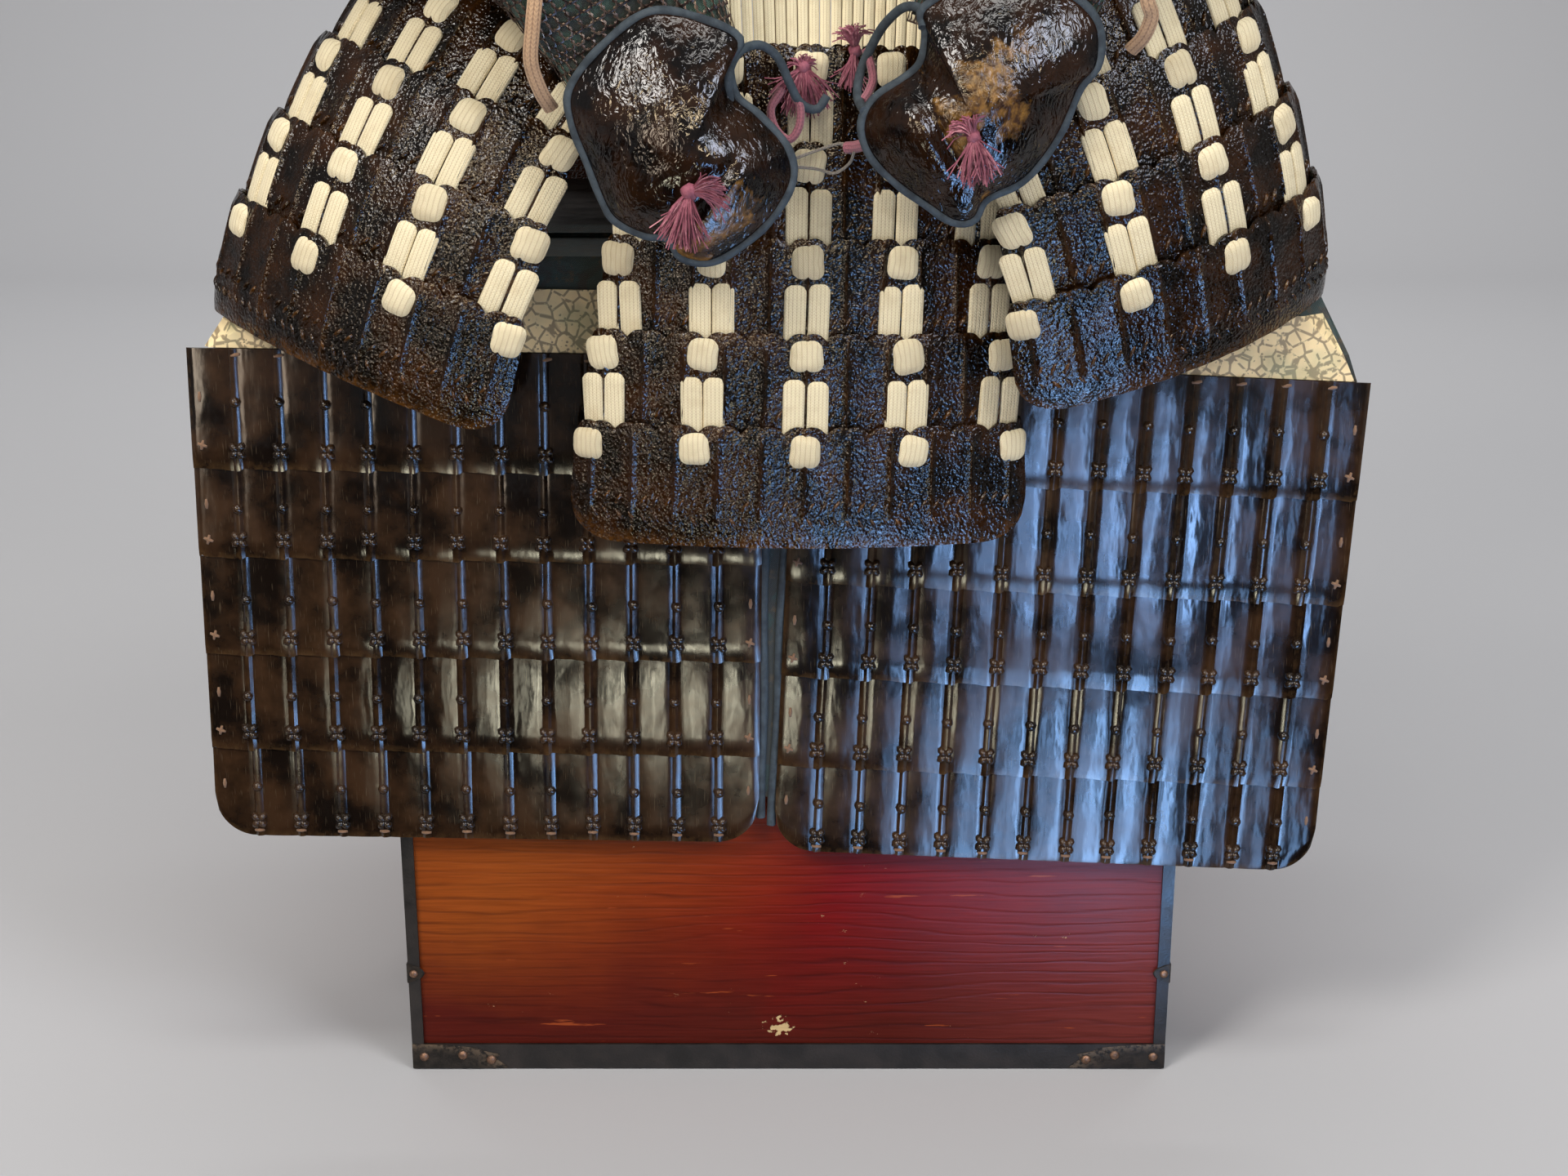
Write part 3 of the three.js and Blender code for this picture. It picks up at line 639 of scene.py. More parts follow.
@dataclass(frozen=True)
class RubbedGuardLacquer:
    """Black lacquer on rawhide hand guards, worn through to golden brown in broad patches."""

    name: str
    gold: float = 0.5

    def build(self) -> bpy.types.Material:
        """Returns the material."""
        r = Recipe(self.name)
        folds = r.noise(4.2, 2.5, r.spot((1, 1, 0.6)), 0.5, 1.0)
        patch = r.math("ADD", r.noise(30, 5, None, 0.65, 0.5),
                       r.math("MULTIPLY", r.math("SUBTRACT", r.tone(), 0.56), self.gold))
        bare = r.between(patch, 0.58, 0.66)
        gold = r.mix(r.between(r.noise(5, 4), 0.4, 0.6), "#3f240b", "#8c6429")
        colour = r.mix(bare, r.mix(r.between(r.noise(18, 3), 0.4, 0.6), "#0b0706", "#2a180c"), gold)
        height = r.math("ADD", folds, r.math("MULTIPLY", bare, 0.2))
        return r.finish(base_color=colour, Roughness=r.between(bare, 0, 1, 0.1, 0.3), IOR=1.45,
                        Normal=r.bump(height, 0.9))


class Finishes:
    """Every material of the armour, made once."""

    def __init__(self) -> None:
        """Builds them all."""
        self.scales = WrinkledLacquer("wrinkled_lacquer").build()
        self.stitches = WrinkledLacquer("stitch_lacquer", wear=0.8, wrinkle_mm=2.0, relief_mm=0.15).build()
        self.plates = SmoothLacquer("smooth_lacquer").build()
        self.bosses = SmoothLacquer("boss_lacquer", wave_mm=0.15).build()
        self.shell = WrinkledLacquer("shell_lacquer", relief_mm=0.25).build()
        self.lace = FlatBraid("cream_braid").build()
        self.knot = FlatBraid("cream_knot", ribs_mm=2.6, stitch_mm=1.3, slant=1.6).build()
        self.tan = FlatBraid("tan_braid", "#c9a27c", "#6d4a30", 2.4, 2.2, 1.4).build()
        self.purple_cord = FlatBraid("purple_braid", "#a5606c", "#4e2430", 1.6, 1.9, 1.3).build()
        self.string = FlatBraid("grey_string", "#8b8276", "#3c3833", 1.2, 1.8, 1.5).build()
        self.silk = Coated(
            "faded_purple_silk", "#9b5263", "#7c3a4c", "#cf8e96", 0.8, 0.0, 4.0, 0.6, 0.1).build()
        self.piping = Coated(
            "indigo_piping", "#39454d", "#28323a", "#66737a", 0.85, 0.0, 8.0, 0.7, 0.25).build()
        self.guard = RubbedGuardLacquer("guard_lacquer").build()
        self.wire = Coated(
            "lacquered_wire", "#2a1a14", "#4b352c", "#a58f7c", 0.38, 0.35, 5.0, 0.8, 0.1).build()
        self.sleeve = Cloth("green_sleeve_cloth", "#2f3b34", "#4f7565", "#2a1d16", 1.2, 24.0, 0.7).build()
        self.brocade = Cloth("worn_brocade", "#2b302a", "#22413f", "#57482f", 1.1, 26.0, 0.9).build()
        self.leather = PrintedLeather("printed_leather").build()
        self.board = LacqueredBoard("red_lacquer_board").build()
        self.edging = Coated(
            "black_edging", "#120e0c", "#231b16", "#6f4c33", 0.42, 0.0, 20.0, 1.6, 0.2).build()
        self.iron = Coated("dark_iron", "#1b1713", "#2f2822", "#6a5a49", 0.5, 0.5, 6.0, 1.0, 0.25).build()
        self.nail = Coated("nail_head", "#8a6a55", "#5d473a", "#c6a489", 0.4, 0.7, 3.0, 0.8, 0.1).build()
        self.wood = Coated("plain_wood", "#8a6443", "#6b4a30", "#a98660", 0.65, 0.0, 18.0, 1.2, 0.2).build()


# Tassets
class Side(Enum):
    """Which end of a tasset curls towards the body."""

    LEFT = -1
    NONE = 0
    RIGHT = 1


@dataclass(frozen=True)
class Tasset:
    """One hanging panel of five laced lames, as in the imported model.

    A place on it is u across, v down from the head of its top lame and off outwards. Across, it follows a
    circle of radius bend, with a tighter circle past the curl; down, a circle of radius 1 / bulge.
    """

    name: str
    at: Place
    yaw: float
    lean: float
    roll: float = 0.0
    bend: float = 400.0
    bulge: float = 0.0012
    wide: float = 0.86
    curl: Side = Side.NONE
    hem: tuple[float, float] = (0.0, 27.0)
    lacing: tuple[float, float] = (0.06, 0.94)
    fine: bool = False
    rows: int = 5
    pitch: float = 48.5
    height: float = 66.0
    thick: float = 3.0
    drop: float = 12.5
    width: float = 250.0
    step: float = 16.6
    taper: float = 4.0
    plates: int = 11
    notch: float = 4.0
    corner: float = 26.0
    curl_radius: float = 50.0

    def point(self, u: Array | float, v: Array | float, off: Array | float) -> Array:
        """Points of the panel, one for each u, v and off."""
        u, v, off = np.broadcast_arrays(*(np.asarray(x, float) for x in (u, v, off)))
        rise = (self.rows - 1) * self.pitch + self.drop - v
        a, curl = rise * self.bulge, self.curl.value
        far = np.maximum(0, u * curl - 0.235 * (self.width - 20 - self.step * rise / self.pitch))
        phi0 = (u - far * curl) / self.bend
        phi = phi0 + far * curl / self.curl_radius
        facing = [np.sin(phi) * np.cos(a), -np.cos(phi) * np.cos(a), np.cos(phi) * np.sin(a)]
        normal, r = unit(np.stack(facing, -1)), self.curl_radius
        across = self.bend * np.sin(phi0) + r * (np.sin(phi) - np.sin(phi0))
        deep = self.bend * (1 - np.cos(phi0)) + r * (np.cos(phi0) - np.cos(phi))
        deep = deep + (1 - np.cos(a)) / self.bulge
        p = np.stack([across, deep, np.sin(a) / self.bulge], -1) + normal * off[..., None]
        p = turn(turn(turn(p, 1, self.roll), 0, self.lean), 2, self.yaw)
        return p + np.array(self.at)

    def row_width(self, row: int) -> float:
        """Width of a lame at mid height; row 1 is the top one."""
        return (self.width - self.step * (self.rows - row)) * self.wide

    def tilt(self) -> float:
        """How far a lame's head stands out, and its foot stands in."""
        return 2.45 + 620 * self.bulge * 0.62

    def face(self, row: int, v: Array) -> Array:
        """How far the front of a lame is from the panel's surface at v."""
        return self.thick / 2 + self.tilt() * (1 - 2 * (v - (row - 1) * self.pitch) / self.height)

    def on(self, row: int, shape: Array, u: Array, v: Array) -> Array:
        """Copies of a small shape on a lame.

        Args:
            row: the lame.
            shape: points by 3: across, down and out from the lame's front.
            u: where each copy's middle is across.
            v: where it is down the panel.

        Returns:
            Copies by points by 3.
        """
        vv = v[:, None] + shape[None, :, 1]
        return self.point(u[:, None] + shape[None, :, 0], vv, self.face(row, vv) + shape[None, :, 2])

    def columns(self, row: int) -> Array:
        """Where the five columns of laces are across a lame."""
        return (np.arange(5) - 2) / 4 * (self.row_width(row) - 20)


DRAPED = (
    Tasset("front", (8, -250, 392), 3.8, -3.5, 1.2, 296, 0.0006, 1.0, Side.NONE, (0, 27), (0.04, 0.86), True),
    Tasset("front_right", (226.5, -246.8, 494), 27, -1, -18, 165, 0.003, 1.0, Side.RIGHT, (50, 22),
           (0.3, 0.96), True),
    Tasset("side_right", (310, 28, 440), 90, -26, hem=(98, 24)),
    Tasset("rear_right", (150, 288, 440), 156, -27, hem=(151, 26)),
    Tasset("rear_left", (-150, 288, 440), 204, -27, hem=(209, 26)),
    Tasset("side_left", (-310, 28, 440), 270, -26, hem=(262, 24)),
    Tasset("front_left", (-247, -238, 492), 332, -16, 16.5, 170, 0.0032, 1.0, Side.LEFT, (310, 22),
           (0.04, 0.9), True),
)


# Small shapes: across, down, out
def pillow(width: float, height: float, rise: float, n: int, power: float,
           foot: float = -0.4) -> tuple[Array, Faces, Array]:
    """A soft cushion on a flat foot.

    Args:
        width: across.
        height: down.
        rise: how far its middle stands out.
        n: points along each edge.
        power: squareness of its outline; 2 is round, 4 or more nearly square.
        foot: how far behind the surface its edge starts.

    Returns:
        Points, faces and a map in millimetres.
    """
    s, t = np.meshgrid(np.linspace(-1, 1, n), np.linspace(-1, 1, n), indexing="ij")
    size = np.maximum(np.abs(s), np.abs(t))
    ball = (np.abs(s) ** power + np.abs(t) ** power) ** (1 / power)
    k = np.where(ball > 1e-6, size / np.maximum(ball, 1e-6), 1)
    x, y = s * k * width / 2, t * k * height / 2
    z = foot + (rise - foot) * np.sqrt(np.maximum(0, 1 - size**3.2))
    top = np.stack([x, y, z], -1)
    base = top * [0.96, 0.96, 0] + [0, 0, foot - 0.3]
    points, faces = slab(top, base)
    uv = np.concatenate([np.stack([x, y], -1).reshape(-1, 2)] * 2)
    return points, faces, uv


def bead(rx: float, ry: float, rise: float, sides: int = 8, rings: int = 3) -> tuple[Array, Faces]:
    """Half an ellipsoid on a flat foot, of few faces."""
    a = np.linspace(0, 2 * np.pi, sides, endpoint=False)
    h = np.linspace(0, np.pi / 2, rings + 1)[:-1]
    ring = np.stack([np.cos(h)[:, None] * np.cos(a) * rx, np.cos(h)[:, None] * np.sin(a) * ry,
                     np.broadcast_to(np.sin(h)[:, None] * rise, (rings, sides))], -1)
    top = np.broadcast_to(np.array([0, 0, rise]), (1, sides, 3))
    foot = ring[:1] * [1, 1, 0] + [0, 0, -0.6]
    return loft(np.concatenate([foot, ring, top * [0.2, 0.2, 1] + ring[-1:] * [0.2, 0.2, 0]]))


def stitch(length: float, width: float, rise: float, slope: float) -> tuple[Array, Faces]:
    """A raised stitch: a bead drawn out and turned by slope degrees from upright."""
    points, faces = bead(width / 2, length / 2, rise, 6, 2)
    return turn(points, 2, slope), faces


@dataclass
class TassetDress:
    """Lames, laces, knots and stitches of one tasset."""

    tasset: Tasset
    looks: Finishes
    crown: float = 0.55  # each scale bows out this much
    ridge: float = 1.6  # height of the seam down the middle of a scale
    ridge_w: float = 1.5
    braid: float = 11.6  # width of one flat lace
    lace_thick: float = 2.0
    knot: float = 17.4

    def lame(self, row: int) -> None:
        """Makes one lame.

        Its head runs in scallops that meet in notches between the scales; down the middle of each scale goes
        the ridge where two layers lap. The lowest lame has round corners.

        Args:
            row: 1 for the top lame.
        """
        t = self.tasset
        per, down = (14, 15) if t.fine else (8, 8)
        s = np.linspace(0, 1, t.plates * per + 1)
        f = np.linspace(0, 1, down)[None, :]
        width, v0 = t.row_width(row), (row - 1) * t.pitch
        cell = s * t.plates % 1
        cell[-1] = 0
        away = np.minimum(cell, 1 - cell)
        notch = t.notch * np.exp(-((away / 0.13) ** 1.4)) + 1.0 * bump(cell, 0.5, 0.07)
        side = np.minimum(s, 1 - s) * width
        radius = t.corner if row == t.rows else 7.0
        d = np.maximum(0, radius - side)
        rise = (radius - np.sqrt(np.maximum(0, radius**2 - d**2))) * (0.8 if row == t.rows else 0.7)
        head = v0 + notch + 3 * np.exp(-((side / 2.5) ** 2))
        foot = v0 + t.height - rise
        v = head[:, None] * (1 - f) + foot[:, None] * f
        across = (s[:, None] - 0.5) * 2
        u = across * (width / 2 - t.taper * 0.6 + f * t.taper * 1.1)
        wander = 0.5 * np.sin(s[:, None] * 40 + f * 7 + row)
        relief = self.crown * np.sin(np.pi * cell)[:, None] - 0.35
        seam = bump(cell[:, None], 0.5 + 0.012 * wander, self.ridge_w / (width / t.plates) / 1.6)
        relief = relief + self.ridge * seam * smooth(f, 0.02, 0.12) * (1 - smooth(f, 0.68, 0.8))
        relief = relief - 0.8 * bump(v - head[:, None], 0, 1.2) - 0.7 * bump(foot[:, None] - v, 0, 1.5)
        relief = relief - 0.7 * bump(side[:, None], 0, 1.5) + np.zeros_like(v)
        base = t.face(row, v)
        if row == t.rows:
            relief = relief + 0.5 * smooth(f, 0.5, 0.6) * (1 - smooth(f, 0.85, 0.95))
        rng = np.random.default_rng(7 * row + 3)
        hem_wear = 5 if row == t.rows else 2.5
        worn = 0.5 + 0.5 * bump(foot[:, None] - v, 0, hem_wear) + 0.16 * bump(v - head[:, None], 0, 2)
        worn = worn + 0.18 * seam + 0.05 * rng.standard_normal(v.shape)
        mesh = Mesh()
        outer, inner = t.point(u, v, base + relief), t.point(u, v, base - t.thick + 0.1)
        mesh.add(slab(outer, inner), tone=np.concatenate([np.clip(worn, 0, 1).ravel(), np.full(v.size, 0.5)]))
        name = f"tasset_{t.name}_{row}"
        mesh.build(f"lame_{t.name}_{row}", self.looks.scales, "lacquer", (name,), 42)

    def knots(self) -> None:
        """Makes the cross knots, five on each lame, each a soft square of braid turned a little."""
        t, mesh = self.tasset, Mesh()
        rng = np.random.default_rng(11)
        for row in range(1, t.rows + 1):
            u = t.columns(row)
            for k, x in enumerate(u):
                n = 9 if t.fine else 6
                wide, high = self.knot + rng.normal(0, 0.5), self.knot * 1.05 + rng.normal(0, 0.5)
                points, faces, uv = pillow(wide, high, 3.1, n, 2.7)
                a = np.arctan2(points[:, 1], points[:, 0])
                points[:, :2] *= (1 - 0.035 * np.cos(4 * a) + 0.03 * np.sin(3 * a + k + row))[:, None]
                points = turn(points, 2, rng.normal(0, 5))
                v = (row - 1) * t.pitch + t.drop + rng.normal(0, 0.4)
                placed = t.on(row, points, np.array([x]), np.array([v]))[0]
                mesh.add((placed, faces), uv, 0.3 + 0.5 * rng.random())
        mesh.build(f"knots_{t.name}", self.looks.knot, "lacing", crease=60)

    def laces(self) -> None:
        """Makes the flat laces, two side by side, from under each knot to behind the next lame's head.

        A lace is a ribbon: its section is a crowned strip with a groove each third, its top end is round.
        """
        t, mesh = self.tasset, Mesh()
        rng = np.random.default_rng(5)
        a = np.linspace(0, 2 * np.pi, 16 if t.fine else 8, endpoint=False)
        for row in range(1, t.rows):
            for x in t.columns(row):
                for side in (-1, 1):
                    y0, y1 = t.drop + 11.4 + rng.normal(0, 0.5), t.pitch + 7.5
                    y = y0 + (y1 - y0) * np.array([0, 0.03, 0.09, 0.18, 0.4, 0.7, 1.0])
                    end = np.clip((y - y0 + 0.35) / 4.2, 0, 1)
                    half = self.braid / 2 * np.sqrt(np.clip(1 - (1 - end) ** 2.2, 0.03, 1))
                    lean = rng.normal(0, 0.35)
                    cx = x + side * (self.braid / 2 + 0.25) + lean * (y - y0) / 20
                    rise = self.lace_thick * (0.35 + 0.65 * np.clip((y - y0) / 3, 0, 1))
                    rise = rise * (1 - 0.45 * smooth(y, y1 - 12, y1))
                    ring_u = cx[:, None] + half[:, None] * np.sign(np.cos(a)) * np.abs(np.cos(a)) ** 0.7
                    up = np.abs(np.sin(a)) ** 0.55 * (1 - 0.12 * np.abs(np.sin(3 * np.pi * np.cos(a) / 2)))
                    ring_o = np.where(np.sin(a) > 0, up, -0.2 * up) * rise[:, None] + 0.1
                    vv = (row - 1) * t.pitch + y[:, None] + 0 * ring_u
                    rings = t.point(ring_u, vv, t.face(row, vv) + ring_o)
                    full = np.concatenate([ring_u[:1] * 0 + cx[0], ring_u, ring_u[-1:] * 0 + cx[-1]]) - cx[0]
                    length = np.concatenate([vv[:1], vv, vv[-1:]])
                    uv = np.stack([full + self.braid / 2, length], -1)
                    mesh.add(loft(rings), uv, 0.2 + 0.35 * rng.random())
        mesh.build(f"laces_{t.name}", self.looks.lace, "lacing", crease=60)

    def stitches(self) -> None:
        """Makes the slanted stitches along each lame's foot and the lowest lame's second row."""
        t, mesh = self.tasset, Mesh()
        rng = np.random.default_rng(23)
        for row in range(1, t.rows + 1):
            width, low = t.row_width(row), row == t.rows
            bands = [(43.0, 33, 8.5)] + ([(52.0, -33, 7.5)] if low else [])
            for depth, slope, length in bands:
                count = int(width * 0.9 / 6.6)
                u = np.linspace(-0.45, 0.45, count) * width
                fade = np.abs(u) / (width / 2)
                v = (row - 1) * t.pitch + depth - (4.5 * fade**4 if low else 0) + rng.normal(0, 0.35, count)
                shape = stitch(length, 2.4, 1.6, slope)
                near = np.abs(u[:, None] - t.columns(row)[None]).min(1) if not low else np.full(count, 99.0)
                keep = near > self.braid + 1.5
                mesh.copies(shape, t.on(row, shape[0], u[keep], v[keep]),
                            tone=0.55 + 0.3 * rng.random(int(keep.sum())))
        mesh.build(f"stitches_{t.name}", self.looks.stitches, "lacquer")

    def make(self) -> None:
        """Makes the whole tasset."""
        for row in range(1, self.tasset.rows + 1):
            self.lame(row)
        self.laces()
        self.knots()
        self.stitches()


@dataclass
class WaistLacing:
    """The ring of upright flat laces from the body armour's hem to behind the top lames."""

    looks: Finishes
    hem: tuple[float, float, float] = (182.0, 158.0, 689.7)
    per_tasset: int = 27
    thick: float = 1.9

    def make(self) -> None:
        """Makes each lace as a ribbon along a straight line that bows out a little."""
        mesh = Mesh()
        rng = np.random.default_rng(31)
        a, b, z = self.hem
        ring = np.linspace(0, 2 * np.pi, 8, endpoint=False)
        for t in DRAPED:
            for k in range(self.per_tasset):
                s = (k + 0.5) / self.per_tasset
                az = math.radians(t.hem[0] + (2 * s - 1) * t.hem[1])
                span = math.radians(2 * t.hem[1]) / self.per_tasset
                out = np.array([math.sin(az), -math.cos(az), 0.0])
                top = np.array([a * out[0], b * out[1], z]) - out * 0.9
                u = (t.lacing[0] + (t.lacing[1] - t.lacing[0]) * s - 0.5) * t.row_width(1)
                du = (t.lacing[1] - t.lacing[0]) * t.row_width(1) / self.per_tasset
                low = 0.94 * t.tilt() - t.thick / 2 - (0.95 if t.fine else 1.15) - 0.9
                foot = t.point(u, 2.0 + rng.normal(0, 0.5), low)
                edge = t.point(u + du, 2.0, low)
                f = np.linspace(0, 1, 5)[:, None]
                path = top * (1 - f) + foot * f + out * (0.7 * 4 * f * (1 - f))
                across0 = np.array([a * math.cos(az), b * math.sin(az), 0.0]) * span
                across = across0 * (1 - f) + (edge - foot) * f
                face = unit(np.cross(unit(foot - top)[None], across))
                face = face * np.sign(np.sum(face * out, axis=1, keepdims=True))
                breadth = across[:, None] * 0.47 * np.cos(ring)[None, :, None]
                depth = face[:, None] * (self.thick / 2) * np.sin(ring)[None, :, None]
                rings = path[:, None] + breadth + depth
                length = np.linalg.norm(foot - top) * np.concatenate([[0], f[:, 0], [1]])
                wide = np.linalg.norm(across0) * 0.5 * (1 + np.cos(ring))
                uv = np.stack(np.broadcast_arrays(wide[None, :], length[:, None]), -1)
                mesh.add(loft(rings), uv, 0.25 + 0.3 * rng.random())
        mesh.build("waist_laces", self.looks.lace, "lacing", ("waist_lacing",), 60)


# Studio
# Lights that the plates mirror as upright streaks: place across and width in metres, then watts.
PANES = ((0.22, 0.04, 1.2), (0.3, 0.03, 0.9), (0.385, 0.05, 2.6), (0.6, 0.04, 0.7))
STRIPS = ((0.075, 0.02, 0.4), (0.112, 0.04, 1.5), (0.15, 0.03, 1.2), (0.19, 0.04, 3.4), (0.225, 0.03, 0.9),
          (0.285, 0.035, 1.0))
GAPS = ((-0.02, 0.03, 0.8), (-0.06, 0.05, 1.3), (-0.11, 0.05, 0.9), (-0.17, 0.05, 0.4))


@dataclass(frozen=True)
class Studio:
    """Camera as the photograph was taken, a pale grey sweep and soft lights."""

    eye: Place = (-2.78, -1333.33, 647.71)
    pitch: float = 73.0
    lens: float = 48.73
    plates_y: float = -0.25  # metres; the upright face that mirrors the strips

    def camera(self) -> None:
        """Makes the camera: 17 degrees down, level, no shift, all in focus."""
        data = bpy.data.cameras.new("camera")
        data.lens, data.sensor_width = self.lens, 36.0
        data.clip_start, data.clip_end = 0.05, 50
        eye = bpy.data.objects.new("camera", data)
        eye.location = [x * MM for x in self.eye]
        eye.rotation_euler = (math.radians(self.pitch), 0, 0)
        bpy.context.scene.collection.objects.link(eye)
        bpy.context.scene.camera = eye

    def sweep(self) -> None:
        """Makes the floor that curves up into a backdrop: a quarter circle between two planes."""
        r, back = 900.0, 2900.0  # the curve's radius, and how far behind the object it starts
        a = np.linspace(0, np.pi / 2, 24)
        y = np.concatenate([[-5000], back + r * np.sin(a), [back + r]])
        z = np.concatenate([[-0.5], r - 0.5 - r * np.cos(a), [5000]])
        line = np.stack([0 * y, y, z], -1)
        grid = line[:, None] + np.array([-6000, 6000])[None, :, None] * np.array([1.0, 0, 0])
        mesh = bpy.data.meshes.new("sweep")
        mesh.from_pydata((grid.reshape(-1, 3) * MM).tolist(), [], grid_faces(len(line), 2)[:, ::-1].tolist())
        mesh.shade_smooth()
        recipe = Recipe("studio_paper")
        mesh.materials.append(recipe.finish(base_color="#b9b9bb", Roughness=0.9))
        sweep = bpy.data.objects.new("sweep", mesh)
        bpy.context.scene.collection.objects.link(sweep)

    def card(self) -> None:
        """Lays a dark card on the floor in front, out of view, that only gloss sees: lacquer stays deep."""
        mesh = bpy.data.meshes.new("card")
        corners = [(x, y, 0.001) for x, y in ((-1.6, -2.6), (1.6, -2.6), (1.6, -0.36), (-1.6, -0.36))]
        mesh.from_pydata(corners, [], [(0, 1, 2, 3)])
        look = Recipe("dark_card").finish(base_color="#1c1a19", Roughness=0.95, Specular_IOR_Level=0.1)
        mesh.materials.append(look)
        card = bpy.data.objects.new("card", mesh)
        card.visible_camera = card.visible_diffuse = card.visible_shadow = False
        bpy.context.scene.collection.objects.link(card)

    def light(self, name: str, at: Place, aim: Place, size: tuple[float, float], power: float,
              colour: str = "#ffffff", mirrored: bool = False) -> None:
        """Makes one panel of light, metres and watts, facing its aim; a mirrored one shows only in gloss."""
        data = bpy.data.lights.new(name, "AREA")
        data.shape, data.size, data.size_y = "RECTANGLE", size[0], size[1]
        data.energy, data.color = power, srgb(colour)[:3]
        lamp = bpy.data.objects.new(name, data)
        lamp.location = at
        way = Vector(aim) - Vector(at)
        lamp.rotation_euler = way.to_track_quat("-Z", "Y").to_euler()
        lamp.visible_camera, lamp.visible_diffuse = False, not mirrored
        bpy.context.scene.collection.objects.link(lamp)

    def strip(self, name: str, x: float, wide: float, power: float, colour: str,
              y: tuple[float, float]) -> None:
        """Lays a long light on the floor, out of view; plates at x mirror it as an upright streak."""
        fan, mid = x / (self.plates_y - self.eye[1] * MM), (y[0] + y[1]) / 2
        at = (fan * (2 * self.plates_y - self.eye[1] * MM - mid), mid, 0.004)
        self.light(name, at, (at[0], at[1], 1), (wide, y[1] - y[0]), power, colour, True)
        bpy.data.objects[name].rotation_euler = (math.pi, 0, math.atan(fan))

    def make(self) -> None:
        """Sets up the camera, the sweep, the world and the lights."""
        self.camera()
        self.sweep()
        self.card()
        world = bpy.data.worlds.new("studio")
        world.use_nodes = True
        sky = world.node_tree.nodes["Background"]
        sky.inputs[0].default_value = srgb("#c9c9cb")
        sky.inputs[1].default_value = 0.42
        bpy.context.scene.world = world
        bpy.context.scene.view_settings.view_transform = "Standard"
        # Narrow panes stand low in front on the right, for the upper rows of plates.
        for n, (x, wide, power) in enumerate(PANES):
            aim = (0.6 * x, -0.2, 0.28)
            self.light(f"pane_{n + 1}", (x, -1.36, 0.08), aim, (wide, 0.28), power, "#86b0ea", True)
        for n, (x, wide, power) in enumerate(STRIPS):
            self.strip(f"strip_{n + 1}", x, wide, power, "#86b2ea", (-1.02, -0.38))
        for n, (x, wide, power) in enumerate(GAPS):
            self.strip(f"gap_{n + 1}", x, wide, power, "#e4dfc4", (-1.12, -0.9))
        self.light("window", (1.5, -1.9, 1.7), (0.2, -0.2, 0.45), (0.45, 1.1), 15, "#c4d6ff", True)
        self.light("side", (1.6, -1.8, 1.8), (0.2, -0.2, 0.45), (0.9, 1.1), 26, "#fbfcff")
        self.light("key", (-1.3, -1.7, 2.0), (-0.1, -0.2, 0.5), (0.7, 0.7), 34, "#fffaf4")
        self.light("above", (0.1, -0.9, 2.6), (0, -0.2, 0.5), (1.6, 0.5), 20, "#fffdf8")
        self.light("backdrop", (0, 1.7, 3.4), (0, 3.2, 0.4), (4, 0.5), 78, "#ffffff")
        self.light("low", (-1.2, -2.2, 0.5), (-0.3, -0.2, 0.4), (0.3, 0.9), 10, "#ffe9cf", True)
        self.light("brow", (-0.1, -1.7, 1.15), (0, -0.2, 0.5), (1.5, 0.1), 14, "#ffe6bd", True)


# Thigh guard
@dataclass(frozen=True)
class Panel:
    """One half of the thigh guard: the seam between rows 2 and 3, its turn, and the rows' heights."""

    name: str
    x: float
    z: float
    turn: float
    rows: tuple[float, ...]
    columns: int = 13
    plate: float = 23.85
    corner: float = 24.0

    def top(self) -> float:
        """Height of the head above the middle."""
        return self.rows[0] + self.rows[1]

    def place(self, x: Array, y: Array, z: Array) -> Array:
        """Points turned by the panel's turn and moved to its place; y is a row-axis distance."""
        p = np.stack(np.broadcast_arrays(x, y, z), -1).astype(float)
        return turn(p, 1, self.turn) + np.array([self.x, 0, self.z])


PANELS = (
    Panel("left", -170, 320, 0.9, (66, 50, 56.5, 56.5, 53)),
    Panel("right", 153, 301, 2.5, (65, 60, 55, 54, 52)),
)


